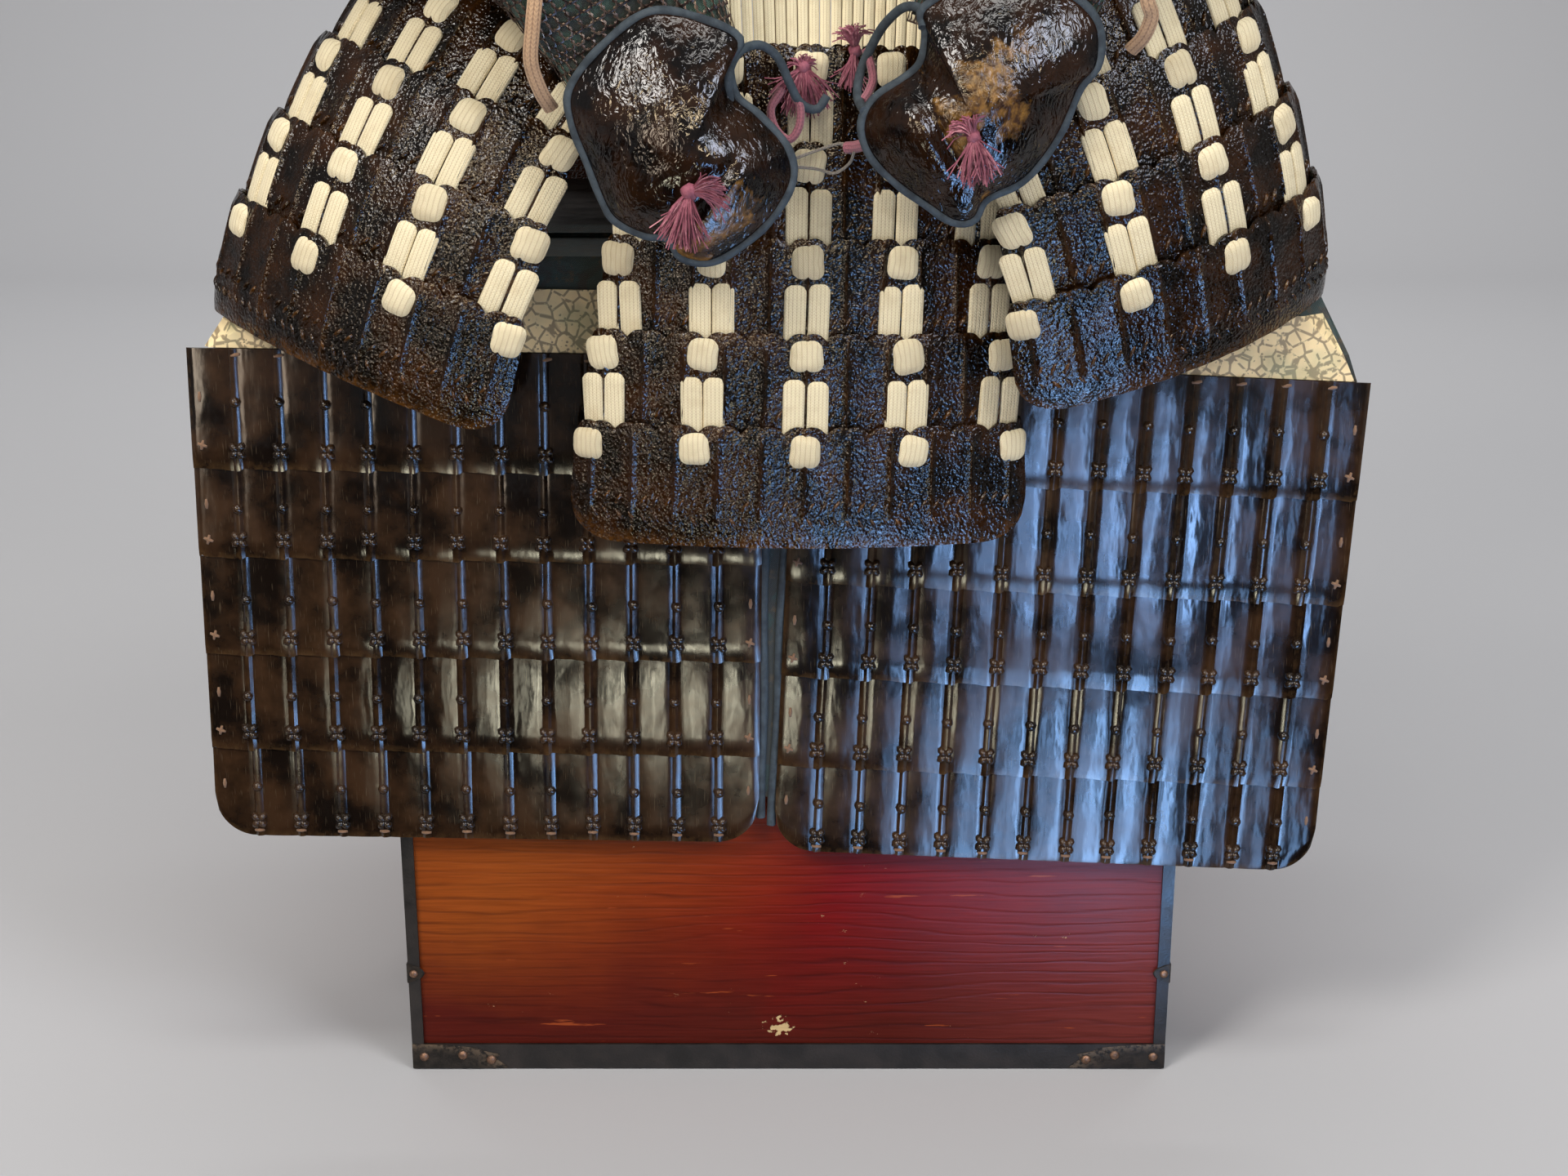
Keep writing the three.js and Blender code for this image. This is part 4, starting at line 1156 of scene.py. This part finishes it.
@dataclass
class ThighGuard:
    """The two plated panels, their bosses, ties, cloth, printed leather and piping."""

    looks: Finishes
    plate_y: float = -207.2
    step: float = 1.9
    bead_rise: float = 1.15
    fixing: float = 10.5  # a knot boss's height above its row's foot
    edge_fall: float = 0.9  # how far the outer edges fall back

    def front(self, f: Array | float) -> Array | float:
        """Y of a row's face at share f of its height: it stands out towards its foot."""
        return self.plate_y - 2.1 - self.step * f

    def plates(self, panel: Panel) -> None:
        """Makes a panel's plates as one stepped sheet.

        Each row stands out at its foot over the next one. At every seam a half-round bead runs down, with a
        groove beside it, and each plate is slightly hollow.
        """
        mesh = Mesh()
        per = 14
        half = panel.columns * panel.plate / 2
        s = np.linspace(0, 1, panel.columns * per + 1)
        x = (s - 0.5) * 2 * half
        z_top = panel.top()
        foot_all = z_top - sum(panel.rows)
        corner = panel.corner
        d = np.maximum(0, corner - (half - np.abs(x)))
        lift = corner - np.sqrt(np.maximum(0, corner**2 - d**2))
        for row, h in enumerate(panel.rows):
            last = row == len(panel.rows) - 1
            shift = 0.7 if row % 2 else -0.7
            cell = ((x + shift) / panel.plate) % 1
            away = (cell - 0.5) * panel.plate  # seam in the middle of a cell
            f = np.linspace(0, 1, 11)[None, :]
            sag = 1.2 * np.sin(np.pi * cell) - 1.2 * smooth(away, 0, 3) * (1 - smooth(away, 3, 12))
            foot = np.where(np.abs(x) > half - 3, z_top - h - sag + 1.0, z_top - h - sag)
            foot = foot_all + lift if last else np.maximum(foot, foot_all)
            z = z_top * (1 - f) + foot[:, None] * f
            y = self.front(f)
            live = (np.abs(x) < half - 5)[:, None]
            bead_ = self.bead_rise * np.sqrt(np.clip(1 - (away / 1.5) ** 2, 0, 1))[:, None] * live
            groove = 0.45 * bump(np.abs(away), 2.0, 0.7)[:, None] * live
            dish = 0.5 * np.cos(np.pi * cell)[:, None] ** 2
            edge = self.edge_fall * bump(half - np.abs(x), 0, 1.4)[:, None] + 0.8 * bump((1 - f) * h, 0, 1.3)
            rng = np.random.default_rng(row + 40)
            tilt = np.repeat(rng.normal(0, 0.35, panel.columns + 1), per)[: len(x)][:, None]
            y = y - bead_ + groove - dish * 0.6 + edge + tilt * 0.25 * np.sin(np.pi * f) + 0.3
            tone = 0.5 + 0.4 * bump((1 - f) * h, 0, 1.4) + 0.24 * bead_ / self.bead_rise
            tone = tone + 0.3 * bump(half - np.abs(x), 0, 2)[:, None]
            outer = panel.place(x[:, None], y, z)
            inner = panel.place(x[:, None], np.full_like(z, self.plate_y - 0.15), z)
            mesh.add(slab(outer, inner),
                     tone=np.concatenate([np.clip(tone + 0 * z, 0, 1).ravel(), np.full(z.size, 0.5)]))
            z_top -= h
        mesh.build(f"plates_{panel.name}", self.looks.plates, "plate", (f"thigh_plates_{panel.name}",), 35)

    def bosses(self, panel: Panel) -> None:
        """Makes the round boss in each seam and the crossed knot boss near each row's foot, with tan ties."""
        mesh, ties = Mesh(), Mesh()
        half = panel.columns * panel.plate / 2
        round_boss, lobe = bead(3.1, 3.1, 2.6), bead(2.3, 3.3, 2.3, 7, 2)
        cord = bead(1.1, 3.2, 1.1, 6, 2)
        rng = np.random.default_rng(77)
        z_top = panel.top()

        def put(target: Mesh, shape: tuple[Array, Faces], xs: Array, zs: Array, face: Array, tone: float,
                spin: float = 0) -> None:
            """Sets copies of a shape on the panel, turned by spin degrees."""
            p = turn(shape[0], 2, spin)
            across, up = xs[:, None] + p[None, :, 0], zs[:, None] - p[None, :, 1]
            target.copies(shape, panel.place(across, face[:, None] - p[None, :, 2], up), tone=tone)

        for row, h in enumerate(panel.rows):
            shift = 0.7 if row % 2 else -0.7
            xs = (np.arange(1, panel.columns) - panel.columns / 2) * panel.plate - shift
            xs = xs + rng.normal(0, 0.4, len(xs))
            zm = z_top - h * 0.44 + rng.normal(0, 0.4, len(xs))
            zk = z_top - h + self.fixing + rng.normal(0, 0.4, len(xs))
            for zz, share in ((zm, 0.44), (zk, 1 - self.fixing / h)):
                face = np.full(len(xs), self.front(share) - 0.4)
                if share < 0.5:
                    put(mesh, round_boss, xs, zz, face, 0.62)
                else:
                    for side, up in ((1, 1), (-1, 1), (1, -1), (-1, -1)):
                        put(mesh, lobe, xs + side * 1.7, zz + up * 1.9, face, 0.66, 45 * side * up)
                    if row == len(panel.rows) - 1:
                        put(ties, cord, xs, zz - 6.0, face - 0.2, 0.5, 90)
            # Tan ties at both ends of each row.
            for end in (-1, 1):
                for share, spin in ((0.4, 0), (0.8, 14), (0.8, -70)):
                    if row == len(panel.rows) - 1 and share > 0.7:
                        continue
                    face = np.array([self.front(share) - 0.1])
                    at_x, at_z = np.array([end * (half - 6.0)]), np.array([z_top - h * share])
                    put(ties, cord, at_x, at_z, face, 0.5, spin)
            if row == 0:
                face = np.full(len(xs), self.front(0.06) - 0.2)
                put(ties, cord, xs + 1.5, np.full(len(xs), z_top - 3.4), face, 0.5, 80)
            z_top -= h
        mesh.build(f"bosses_{panel.name}", self.looks.bosses, "plate", crease=60)
        ties.build(f"ties_{panel.name}", self.looks.tan, "lacing", crease=60)

    def piping(self) -> None:
        """Makes the indigo bindings that show between the panels, each a cord down one inner edge."""
        for panel, side in zip(PANELS, (1, -1)):
            half = panel.columns * panel.plate / 2
            z = np.linspace(panel.top() - 4, panel.top() - sum(panel.rows) + 14, 40)
            x = np.full_like(z, side * (half + 1.5)) + 0.5 * np.sin(z / 17)
            path = panel.place(x, np.full_like(z, self.plate_y + 0.7), z)
            mesh = Mesh()
            mesh.add(tube(path, 2.6, 10, np.array([0, -1.0, 0]), 0.75), tone=0.4)
            mesh.build(f"piping_{panel.name}", self.looks.piping, "brocade", crease=70)

    def make(self) -> None:
        """Makes the whole guard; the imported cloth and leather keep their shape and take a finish."""
        for panel in PANELS:
            self.plates(panel)
            self.bosses(panel)
            dress(f"printed_leather_{panel.name}", self.looks.leather)
        self.piping()
        for name in ("thigh_guard_cloth", "thigh_guard_waistband"):
            dress(name, self.looks.brocade)


# Chest
@dataclass
class Chest:
    """The red chest: its board fronts, black edging, irons and nails."""

    looks: Finishes
    half_w: float = 225.0
    half_d: float = 200.0

    def corner_iron(self, mesh: Mesh, nails: Mesh, side: int) -> None:
        """One iron on a lower corner: a plate with a scalloped inner edge and three nails."""
        s = np.linspace(0, 1, 40)
        reach = 52 * (1 - 0.09 * np.abs(np.sin(s * np.pi * 3.5)))
        a = s * np.pi / 2
        edge = np.stack([reach * np.cos(a) ** 0.8 * 1.1, 15.5 * np.sin(a) ** 0.7], -1)
        f = np.linspace(0, 1, 6)[None, :]
        x = side * (self.half_w - edge[:, None, 0] * f)
        z = 0.6 + edge[:, None, 1] * f
        y = np.full_like(x, -self.half_d - 0.8)
        outer = np.stack([x, y + 0.5 * f**6, z], -1)
        inner = np.stack([x, y + 0.9, z], -1)
        mesh.add(slab(outer, inner),
                 tone=0.45 + 0.5 * np.concatenate([np.broadcast_to(f**4, x.shape).ravel()] * 2))
        for dx, dz in ((7, 8), (30, 9), (47, 6)):
            self.nail(nails, np.array([side * (self.half_w - dx), -self.half_d - 0.7, dz]), (0, -1))

    def nail(self, nails: Mesh, at: Array, way: tuple[int, int], size: float = 3.0) -> None:
        """A domed nail head that faces way, an x and a y."""
        shape, faces = bead(size, size, 1.3, 9, 2)
        if way[0]:
            points = np.stack([way[0] * shape[:, 2], shape[:, 0], shape[:, 1]], -1)
        else:
            points = np.stack([shape[:, 0], way[1] * shape[:, 2], shape[:, 1]], -1)
        points = points + at
        nails.add((points, outward(points, faces)), tone=0.5)

    def side_strap(self, mesh: Mesh, nails: Mesh, side: int, z: float) -> None:
        """A strap iron wrapped round an upright edge, with a nail."""
        a = np.linspace(0, 1, 9)
        x = np.concatenate([self.half_w - 9 * (1 - a), np.full(9, self.half_w + 0.8)])
        y = np.concatenate([np.full(9, -self.half_d - 0.8), -self.half_d + 26 * a])
        rise = np.concatenate([5.5 * a**0.5 + 0.5, np.full(9, 6.0)])
        f = np.linspace(-1, 1, 5)[None, :]
        outer = np.stack([side * (x[:, None] + 0 * f), y[:, None] + 0 * f, z + rise[:, None] * f], -1)
        inner = outer + np.array([-side * 0.7, 0.7, 0])
        mesh.add(slab(outer, inner), tone=0.6)
        self.nail(nails, np.array([side * (self.half_w - 3.4), -self.half_d - 1.2, z]), (0, -1), 2.6)

    def make(self) -> None:
        """Dresses the chest and the stand, and adds the chest's irons."""
        dress("chest_box", self.looks.board)
        dress("chest_frame", self.looks.edging)
        dress("chest_lid", self.looks.edging)
        dress("stand", self.looks.wood)
        irons, nails = Mesh(), Mesh()
        for side in (-1, 1):
            self.corner_iron(irons, nails, side)
            self.side_strap(irons, nails, side, 63)
            self.side_strap(irons, nails, side, 330)
        irons.build("corner_irons", self.looks.iron, "black_frame", crease=40)
        nails.build("iron_nails", self.looks.nail, "black_frame", crease=60)


# Sleeves and hand guards
def at_pixel(px: float, py: float, y: float) -> list[float]:
    """The point at depth y that the camera sees at a place in its 1920 by 1440 frame."""
    eye, c, s = Studio.eye, math.cos(math.radians(17)), math.sin(math.radians(17))
    focal = Studio.lens / 36 * 1920
    k, dy = (720 - py) / focal, y - eye[1]
    dz = dy * (k * c - s) / (c + s * k)
    return [eye[0] + (px - 960) * (c * dy - s * dz) / focal, y, eye[2] + dz]


SLEEVE = np.array([  # x, y, z of the middle, half width across, half depth; the left arm
    [-214, 2, 990, 66, 62], [-240, -4, 940, 64, 62], [-268, -20, 870, 60, 58], [-284, -46, 810, 57, 55],
    [-276, -92, 762, 56, 52], [-236, -150, 735, 56, 48], [-184, -202, 715, 56, 43], [-134, -248, 685, 54, 33],
    [-98, -271, 648, 51, 19], [-76, -269.4, 612, 46, 8], [-62, -270.4, 580, 41, 6]], float)
RIGHT_ARM = np.array([  # what the right arm's places are moved by
    [0, 0, 0], [0, 0, 0], [0, 0, 0], [0, -2, 4], [0, -6, 10], [0, -14, 20], [2, -18, 26], [12, -12, 26],
    [24, -3, 22], [32, -0.2, 20], [35, 0.8, 20]], float)


@dataclass
class Sleeve:
    """One sleeve: a tube of green cloth under a net of lacquered mail."""

    side: int
    looks: Finishes
    wall: float = 2.2
    rounds: int = 44
    wire: float = 0.62

    def stations(self, count: int) -> tuple[Array, Array, Array, Array]:
        """Middle, across, up and half sizes at evenly spread places from shoulder to wrist."""
        path, size = SLEEVE[:, :3].copy(), SLEEVE[:, 3:]
        if self.side > 0:
            path = path * [-1, 1, 1] + RIGHT_ARM
        ahead = np.empty_like(path)
        for i in range(len(path)):
            ahead[i] = path[min(i + 1, len(path) - 1)] - path[max(i - 1, 0)]
        ahead, across = unit(ahead), np.empty_like(path)
        carried = np.array([1.0, -0.05 * self.side, 0.0])
        for i in range(len(path) - 1, -1, -1):
            carried = unit(carried - ahead[i] * (carried @ ahead[i]))
            across[i] = carried
        run = np.concatenate([[0], np.cumsum(np.linalg.norm(np.diff(path, axis=0), axis=1))])
        at = np.linspace(0, run[-1], count)
        line = [np.interp(at, run, col) for col in np.concatenate([path, across, size], 1).T]
        p, w, ab = np.stack(line[:3], 1), unit(np.stack(line[3:6], 1)), np.stack(line[6:], 1)
        up = unit(np.cross(np.gradient(p, axis=0), w))
        return p, unit(np.cross(up, np.gradient(p, axis=0))), up, ab

    def skin(self, count: int, turns: Array, out: Array | float) -> Array:
        """Points on the tube, out beyond its face; turns is one angle each, or one each per station."""
        p, w, up, ab = self.stations(count)
        a = np.broadcast_to(turns, (count, np.shape(turns)[-1]))
        across = w[:, None] * ((ab[:, :1] + out) * np.cos(a))[..., None]
        return p[:, None] + across + up[:, None] * ((ab[:, 1:] + out) * np.sin(a))[..., None]

    def make(self) -> None:
        """Makes the cloth tube, open at both ends, and the rings of the mail, each row half a step on."""
        name = "left" if self.side < 0 else "right"
        count, sides = 90, 48
        a = np.linspace(0, 2 * np.pi, sides, endpoint=False)
        along = np.linspace(0, 1, count)[:, None]
        fold = 0.5 * np.sin(along * 60 + 2 * np.sin(a * 2)) * smooth(1 - along, 0.1, 0.3)
        outer, inner = self.skin(count, a, fold - 0.9), self.skin(count, a, fold - 0.9 - self.wall)
        n = count * sides
        points = np.concatenate([outer.reshape(-1, 3), inner.reshape(-1, 3)])
        faces = grid_faces(count, sides, True)
        ends = []
        for base, flip in ((0, False), ((count - 1) * sides, True)):
            i = base + np.arange(sides)
            j = base + (np.arange(sides) + 1) % sides
            rim = np.stack([i, j, j + n, i + n], 1)
            ends.append(rim[:, ::-1] if flip else rim)
        cloth = Mesh()
        faces = np.concatenate([faces, faces[:, ::-1] + n, *ends])
        cloth.add((points, outward(points, faces)))
        piece = cloth.build(f"sleeve_cloth_{name}", self.looks.sleeve, "mail", (f"sleeve_{name}",), 60)
        rows = 96
        step = 2 * np.pi / self.rounds
        turns = (np.arange(self.rounds)[None, :] + 0.5 * (np.arange(rows)[:, None] % 2)) * step
        middle = self.skin(rows, turns, 0.35)
        east = (self.skin(rows, turns + 0.3 * step, 0.35) - self.skin(rows, turns - 0.3 * step, 0.35)) / 0.6
        south = np.gradient(middle, axis=0)
        out = unit(np.cross(east, south))
        centre = self.stations(rows)[0][:, None]
        out = out * np.sign(np.sum(out * (middle - centre), -1, keepdims=True))
        # A ring: six corners round, three round its wire, a little wider than its step so that rings link.
        b, c = np.linspace(0, 2 * np.pi, 7)[:-1], np.linspace(0, 2 * np.pi, 4)[:-1]
        bb, cc = (g.ravel() for g in np.meshgrid(b, c, indexing="ij"))
        i, j = np.meshgrid(np.arange(6), np.arange(3), indexing="ij")
        i2, j2 = (i + 1) % 6, (j + 1) % 3
        ring = np.stack([g.ravel() for g in (i * 3 + j, i2 * 3 + j, i2 * 3 + j2, i * 3 + j2)], 1)
        wide = np.linalg.norm(east, axis=-1, keepdims=True)
        k = np.minimum(1, wide / 6.0)[..., None]
        radial = 0.6 + self.wire / 6 * np.cos(cc)
        spots = middle[..., None, :] + east[..., None, :] * (radial * np.cos(bb))[:, None]
        spots = spots + south[..., None, :] * (radial * np.sin(bb))[:, None]
        stand = self.wire * 1.1 * np.sin(cc) + 0.75 * np.sin(bb) + 0.5
        spots = spots + out[..., None, :] * k * stand[:, None]
        spots = spots.reshape(-1, 18, 3)
        rng = np.random.default_rng(3 + self.side)
        shape = (spots[0], outward(spots[0], ring))
        mail = Mesh()
        mail.copies(shape, spots, tone=0.35 + 0.5 * rng.random(len(spots)))
        mail.build(f"mail_{name}", self.looks.wire, "mail", crease=80)


@dataclass(frozen=True)
class GuardShape:
    """A hand guard: its middle, its edge going round, across and up, and its crease from place to place."""

    name: str
    x: float
    z: float
    edge: tuple[tuple[float, float], ...]
    crease: tuple[float, float, float, float]


GUARDS = (
    GuardShape("left", -50, 547, (
        (-55.6, 31.5), (-55.6, 15.7), (-48.4, -3.9), (-41.7, -21.7), (-35.7, -31.5), (-21.8, -38.6),
        (-9.9, -40.2), (-4, -49.2), (9.9, -52), (25, -44.5), (40.5, -30.7), (50.8, -12.6), (48.4, 3.1),
        (34.9, 18.5), (23.4, 28.3), (21, 44), (25.8, 54), (11.9, 62), (-15.9, 66.9), (-39.7, 51)),
        (-10, -40, 23.5, -3)),
    GuardShape("right", 86.5, 567, (
        (-21.8, 49), (-21, 37.4), (-23, 23.6), (-31.7, 15.7), (-43.6, 7.9), (-49.6, 0), (-50.8, -9.8),
        (-45.6, -21.7), (-33.7, -33.5), (-19.8, -43.3), (-6, -52), (4, -51.2), (9.9, -41.3), (25.8, -33.5),
        (35.7, -23.6), (45.6, -7.9), (53.6, 11.8), (62, 23.6), (60, 43), (41.7, 57), (6, 61)),
        (-30, 18, 2, -40)),
)


@dataclass(frozen=True)
class Cord:
    """A cord: its stops as pixel across, pixel down and y, its width, and the finish and slot it takes."""

    name: str
    stops: tuple[Place, ...]
    width: float
    look: str = "piping"  # a key of the table in HandGuards.cord
    slot: str = "guard"
    flat: float = 0.9
    count: int = 40
    free: bool = True


GUARD_CORDS = (
    Cord("loop_left", (
        (894, 128, -282), (892, 92, -285), (905, 64, -272), (930, 55, -264), (952, 70, -258),
        (966, 100, -254), (980, 126, -250), (1000, 134, -247), (1013, 117, -246)), 4.4),
    Cord("loop_right", (
        (1130, 34, -283), (1128, 12, -276), (1107, 9, -268), (1083, 30, -258), (1067, 57, -252),
        (1054, 87, -250), (1050, 117, -258), (1058, 136, -282)), 4.6),
    Cord("purple_loop", (
        (958, 108, -251), (944, 133, -253), (950, 158, -254), (966, 171, -253), (978, 156, -252),
        (980, 132, -251), (972, 116, -250)), 4.2, "purple", "silk", 0.85),
    Cord("purple_cord_right", (
        (1060, 60, -249), (1066, 78, -251), (1069, 97, -253), (1064, 112, -256), (1056, 124, -264)),
        4.4, "purple", "silk", count=24),
    Cord("string_1", (
        (971, 195, -262), (1007, 182, -257), (1030, 176, -258), (1050, 182, -268)),
        1.5, "string", "silk", 1.0, 30),
    Cord("string_2", (
        (972, 204, -262), (1000, 207, -256), (1022, 212, -256), (1040, 200, -260), (1046, 186, -268)),
        1.5, "string", "silk", 1.0, 30),
    Cord("purple_stub", (
        (1036, 181, -262), (1047, 180, -266), (1062, 176, -276)), 6.0, "purple", "silk", count=16,
        free=False),
)
SLEEVE_CORDS = (
    Cord("tan_cord_left", (
        (676, 134, -268), (662, 112, -276), (650, 76, -283), (652, 34, -287), (655, 0, -288),
        (660, -60, -287), (640, -130, -276)), 7.4, "tan", "lacing", 0.4),
    Cord("tan_cord_right", (
        (1384, 62, -262), (1400, 45, -270), (1410, 20, -276), (1405, 0, -280), (1400, -50, -280),
        (1410, -110, -268)), 7.4, "tan", "lacing", 0.4),
)


@dataclass
class HandGuards:
    """The two domed guards on the backs of the hands, their bindings, loops, cords and tassels."""

    looks: Finishes
    rim_y: float = -281.0
    rise: float = 24.0
    thick: float = 2.6
    binding: float = 2.3

    def dome(self, g: GuardShape) -> None:
        """Makes a guard: a dome that falls with the square of the way out, with a crease beside its lobe."""
        count = 120
        edge = smooth_path(np.array([[x, 0, z] for x, z in g.edge]), count, True)[:, [0, 2]]
        f = np.linspace(0.02, 1, 30)
        spot = edge[None] * f[:, None, None]
        x, z = spot[..., 0], spot[..., 1]
        x0, z0, x1, z1 = g.crease
        way = np.array([x1 - x0, z1 - z0]) / math.hypot(x1 - x0, z1 - z0)
        across = (x - x0) * way[1] - (z - z0) * way[0]
        along = (x - x0) * way[0] + (z - z0) * way[1]
        on = smooth(along, -14, 2) * (1 - smooth(along, 44, 62))
        swell = 3.4 * smooth(across, -1.5, 7) * (1 - smooth(across, 7, 34))
        relief = on * (swell - 2.2 * bump(across, -1.5, 3))
        relief = relief + 0.9 * np.sin(x / 9 + 1.5 * np.sin(z / 13)) * (1 - f[:, None] ** 4)
        relief = relief * (1 - f[:, None] ** 8)
        y = self.rim_y - self.rise * (1 - f[:, None] ** 2) - relief
        outer = np.stack([g.x + x, y, g.z + z], -1)
        inner = outer + [0, self.thick, 0]
        rings = np.concatenate([outer, inner[::-1]])
        if g.name == "left":
            tone = 0.12 + 0.75 * smooth(across, 0, 8) * on * (1 - 0.4 * smooth(across, 16, 30))
        else:
            tone = 0.3 + 0.75 * bump(x, 12, 22) * bump(z, 14, 34) + 0.35 * bump(across, -6, 7)
        flat = np.clip(np.concatenate([tone, np.full_like(tone, 0.2)]), 0, 1).ravel()
        points, faces = loft(rings)
        tones = np.concatenate([np.full(count, 0.3), flat, np.full(count, 0.2)])
        mesh = Mesh()
        mesh.add((points, faces), tone=tones)
        mesh.build(f"guard_{g.name}", self.looks.guard, "guard", (f"hand_guard_{g.name}",), 60)
        rim_y = np.full(count, self.rim_y + 0.8)
        rim = np.stack([g.x + edge[:, 0] * 1.01, rim_y, g.z + edge[:, 1] * 1.01], -1)
        pipe = Mesh()
        wobble = self.binding * (1 + 0.05 * np.sin(np.arange(count) * 0.9))
        pipe.add(tube(rim, wobble, 10, np.array([0, -1.0, 0]), 0.9, True), tone=0.4)
        pipe.build(f"binding_{g.name}", self.looks.piping, "guard", crease=70)

    def cord(self, cord: Cord) -> None:
        """Makes a cord."""
        path = smooth_path(np.array([at_pixel(*stop) for stop in cord.stops]), cord.count)
        mesh, sides = Mesh(), 10
        run = np.concatenate([[0], np.cumsum(np.linalg.norm(np.diff(path, axis=0), axis=1))])
        girth = np.linspace(0, 1, sides, endpoint=False) * cord.width * 2.6
        uv = np.stack(np.broadcast_arrays(girth[None], np.concatenate([[0], run, run[-1:]])[:, None]), -1)
        mesh.add(tube(path, cord.width / 2, sides, np.array([0, -1.0, 0.02]), cord.flat), uv, 0.4)
        looks = {"piping": self.looks.piping, "purple": self.looks.purple_cord,
                 "string": self.looks.string, "tan": self.looks.tan}
        piece = mesh.build(cord.name, looks[cord.look], cord.slot, crease=70)

    def tuft(self, mesh: Mesh, at: Array, angle: float, spread: float, length: float, count: int,
             seed: int) -> None:
        """Adds strands that fan out from a knot, bending down and forward, each thinner to its tip.

        Args:
            mesh: the tassel.
            at: the knot's middle.
            angle: way of the fan in degrees, 0 to the right and 90 up.
            spread: half the fan.
            length: of a strand.
            count: strands.
            seed: for their small differences.
        """
        rng = np.random.default_rng(seed)
        a = np.radians(angle + spread * np.clip(rng.normal(0, 0.55, count), -1, 1))
        long = length * rng.uniform(0.72, 1.05, count)
        lift = rng.uniform(0.0, 0.75, count)
        t = np.array([0, 0.25, 0.5, 0.75, 1.0])
        curl = rng.normal(0, 0.22, count)[:, None] * t**2
        way = np.stack([np.cos(a[:, None] + curl), -lift[:, None] * (1 - 0.7 * t),
                        np.sin(a[:, None] + curl) - 0.3 * t**2], -1)
        path = at + way * (long[:, None] * t)[..., None] + rng.normal(0, 0.35, (count, 1, 3))
        side = unit(np.cross(np.gradient(path, axis=1), [0, -1.0, 0.1]))
        up = unit(np.cross(side, np.gradient(path, axis=1)))
        c = np.arange(3) * 2 * np.pi / 3
        r = 0.52 * (1 - 0.35 * t)[None, :, None, None]
        ring = np.cos(c)[:, None] * side[:, :, None] + np.sin(c)[:, None] * up[:, :, None]
        rings = path[:, :, None] + r * ring
        ends = np.stack([rings[:, 0].mean(1, keepdims=True).repeat(3, 1),
                         rings[:, -1].mean(1, keepdims=True).repeat(3, 1)])
        full = np.concatenate([ends[0][:, None], rings, ends[1][:, None]], 1).reshape(count, -1, 3)
        shape = (full[0], outward(full[0], grid_faces(len(t) + 2, 3, True)))
        mesh.copies(shape, full, tone=rng.random(count))

    def knot(self, mesh: Mesh, at: Array, size: float) -> None:
        """Adds a round knot: a ball with three wound ridges."""
        h = np.linspace(0.1, np.pi - 0.1, 9)
        a = np.linspace(0, 2 * np.pi, 12, endpoint=False)
        r = size * (1 + 0.1 * np.sin(3 * a[None] + 4 * h[:, None]))
        rings = at + np.stack([np.sin(h)[:, None] * np.cos(a) * r,
                               np.sin(h)[:, None] * np.sin(a) * r * 0.8,
                               np.cos(h)[:, None] * r], -1)
        mesh.add(loft(rings), tone=0.5)

    def tassels(self) -> None:
        """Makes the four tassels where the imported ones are."""
        table = {  # knot's place and size, then fans: angle, spread, length, strands
            "hand_tassel_left": ((-48, 532), 4.2, ((18, 34, 19, 110), (-104, 38, 21, 120))),
            "hand_tassel_right": ((87, 558), 3.6, ((128, 40, 15, 110), (-78, 44, 18, 110))),
            "loop_tassel_left": ((7, 586), 4.0, ((-90, 62, 19, 170), (90, 70, 9, 60))),
            "loop_tassel_right": ((33, 594), 3.4, ((98, 24, 18, 100), (-100, 22, 15, 90))),
        }
        for n, (name, ((x, z), size, fans)) in enumerate(table.items()):
            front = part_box(name)[1].y / MM
            at = np.array([x, front - (5.0 if name.startswith("loop") else 5.5), z])
            mesh = Mesh()
            self.knot(mesh, at, size)
            for k, fan in enumerate(fans):
                self.tuft(mesh, at, *fan, seed=10 * n + k)
            mesh.build(f"{name}_strands", self.looks.silk, "silk", (name,), 60)

    def make(self) -> None:
        """Makes the guards and everything tied to them."""
        for g in GUARDS:
            self.dome(g)
        for cord in GUARD_CORDS:
            self.cord(cord)
        self.tassels()
        for cord in SLEEVE_CORDS:
            self.cord(cord)


@dataclass
class BodyShell:
    """The body armour's two shells and straps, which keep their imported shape."""

    looks: Finishes

    def make(self) -> None:
        """Gives each its lacquer."""
        for name in ("body_front", "body_back", "shoulder_strap_left", "shoulder_strap_right"):
            dress(name, self.looks.shell)


def main() -> None:
    """Builds the armour in order."""
    logging.basicConfig(level=logging.INFO, format="%(name)s %(message)s")
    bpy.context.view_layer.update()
    Studio().make()
    looks = Finishes()
    for tasset in DRAPED:
        TassetDress(tasset, looks).make()
    WaistLacing(looks).make()
    ThighGuard(looks).make()
    for side in (-1, 1):
        Sleeve(side, looks).make()
    HandGuards(looks).make()
    BodyShell(looks).make()
    Chest(looks).make()
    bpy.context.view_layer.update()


if __name__ == "__main__":
    main()
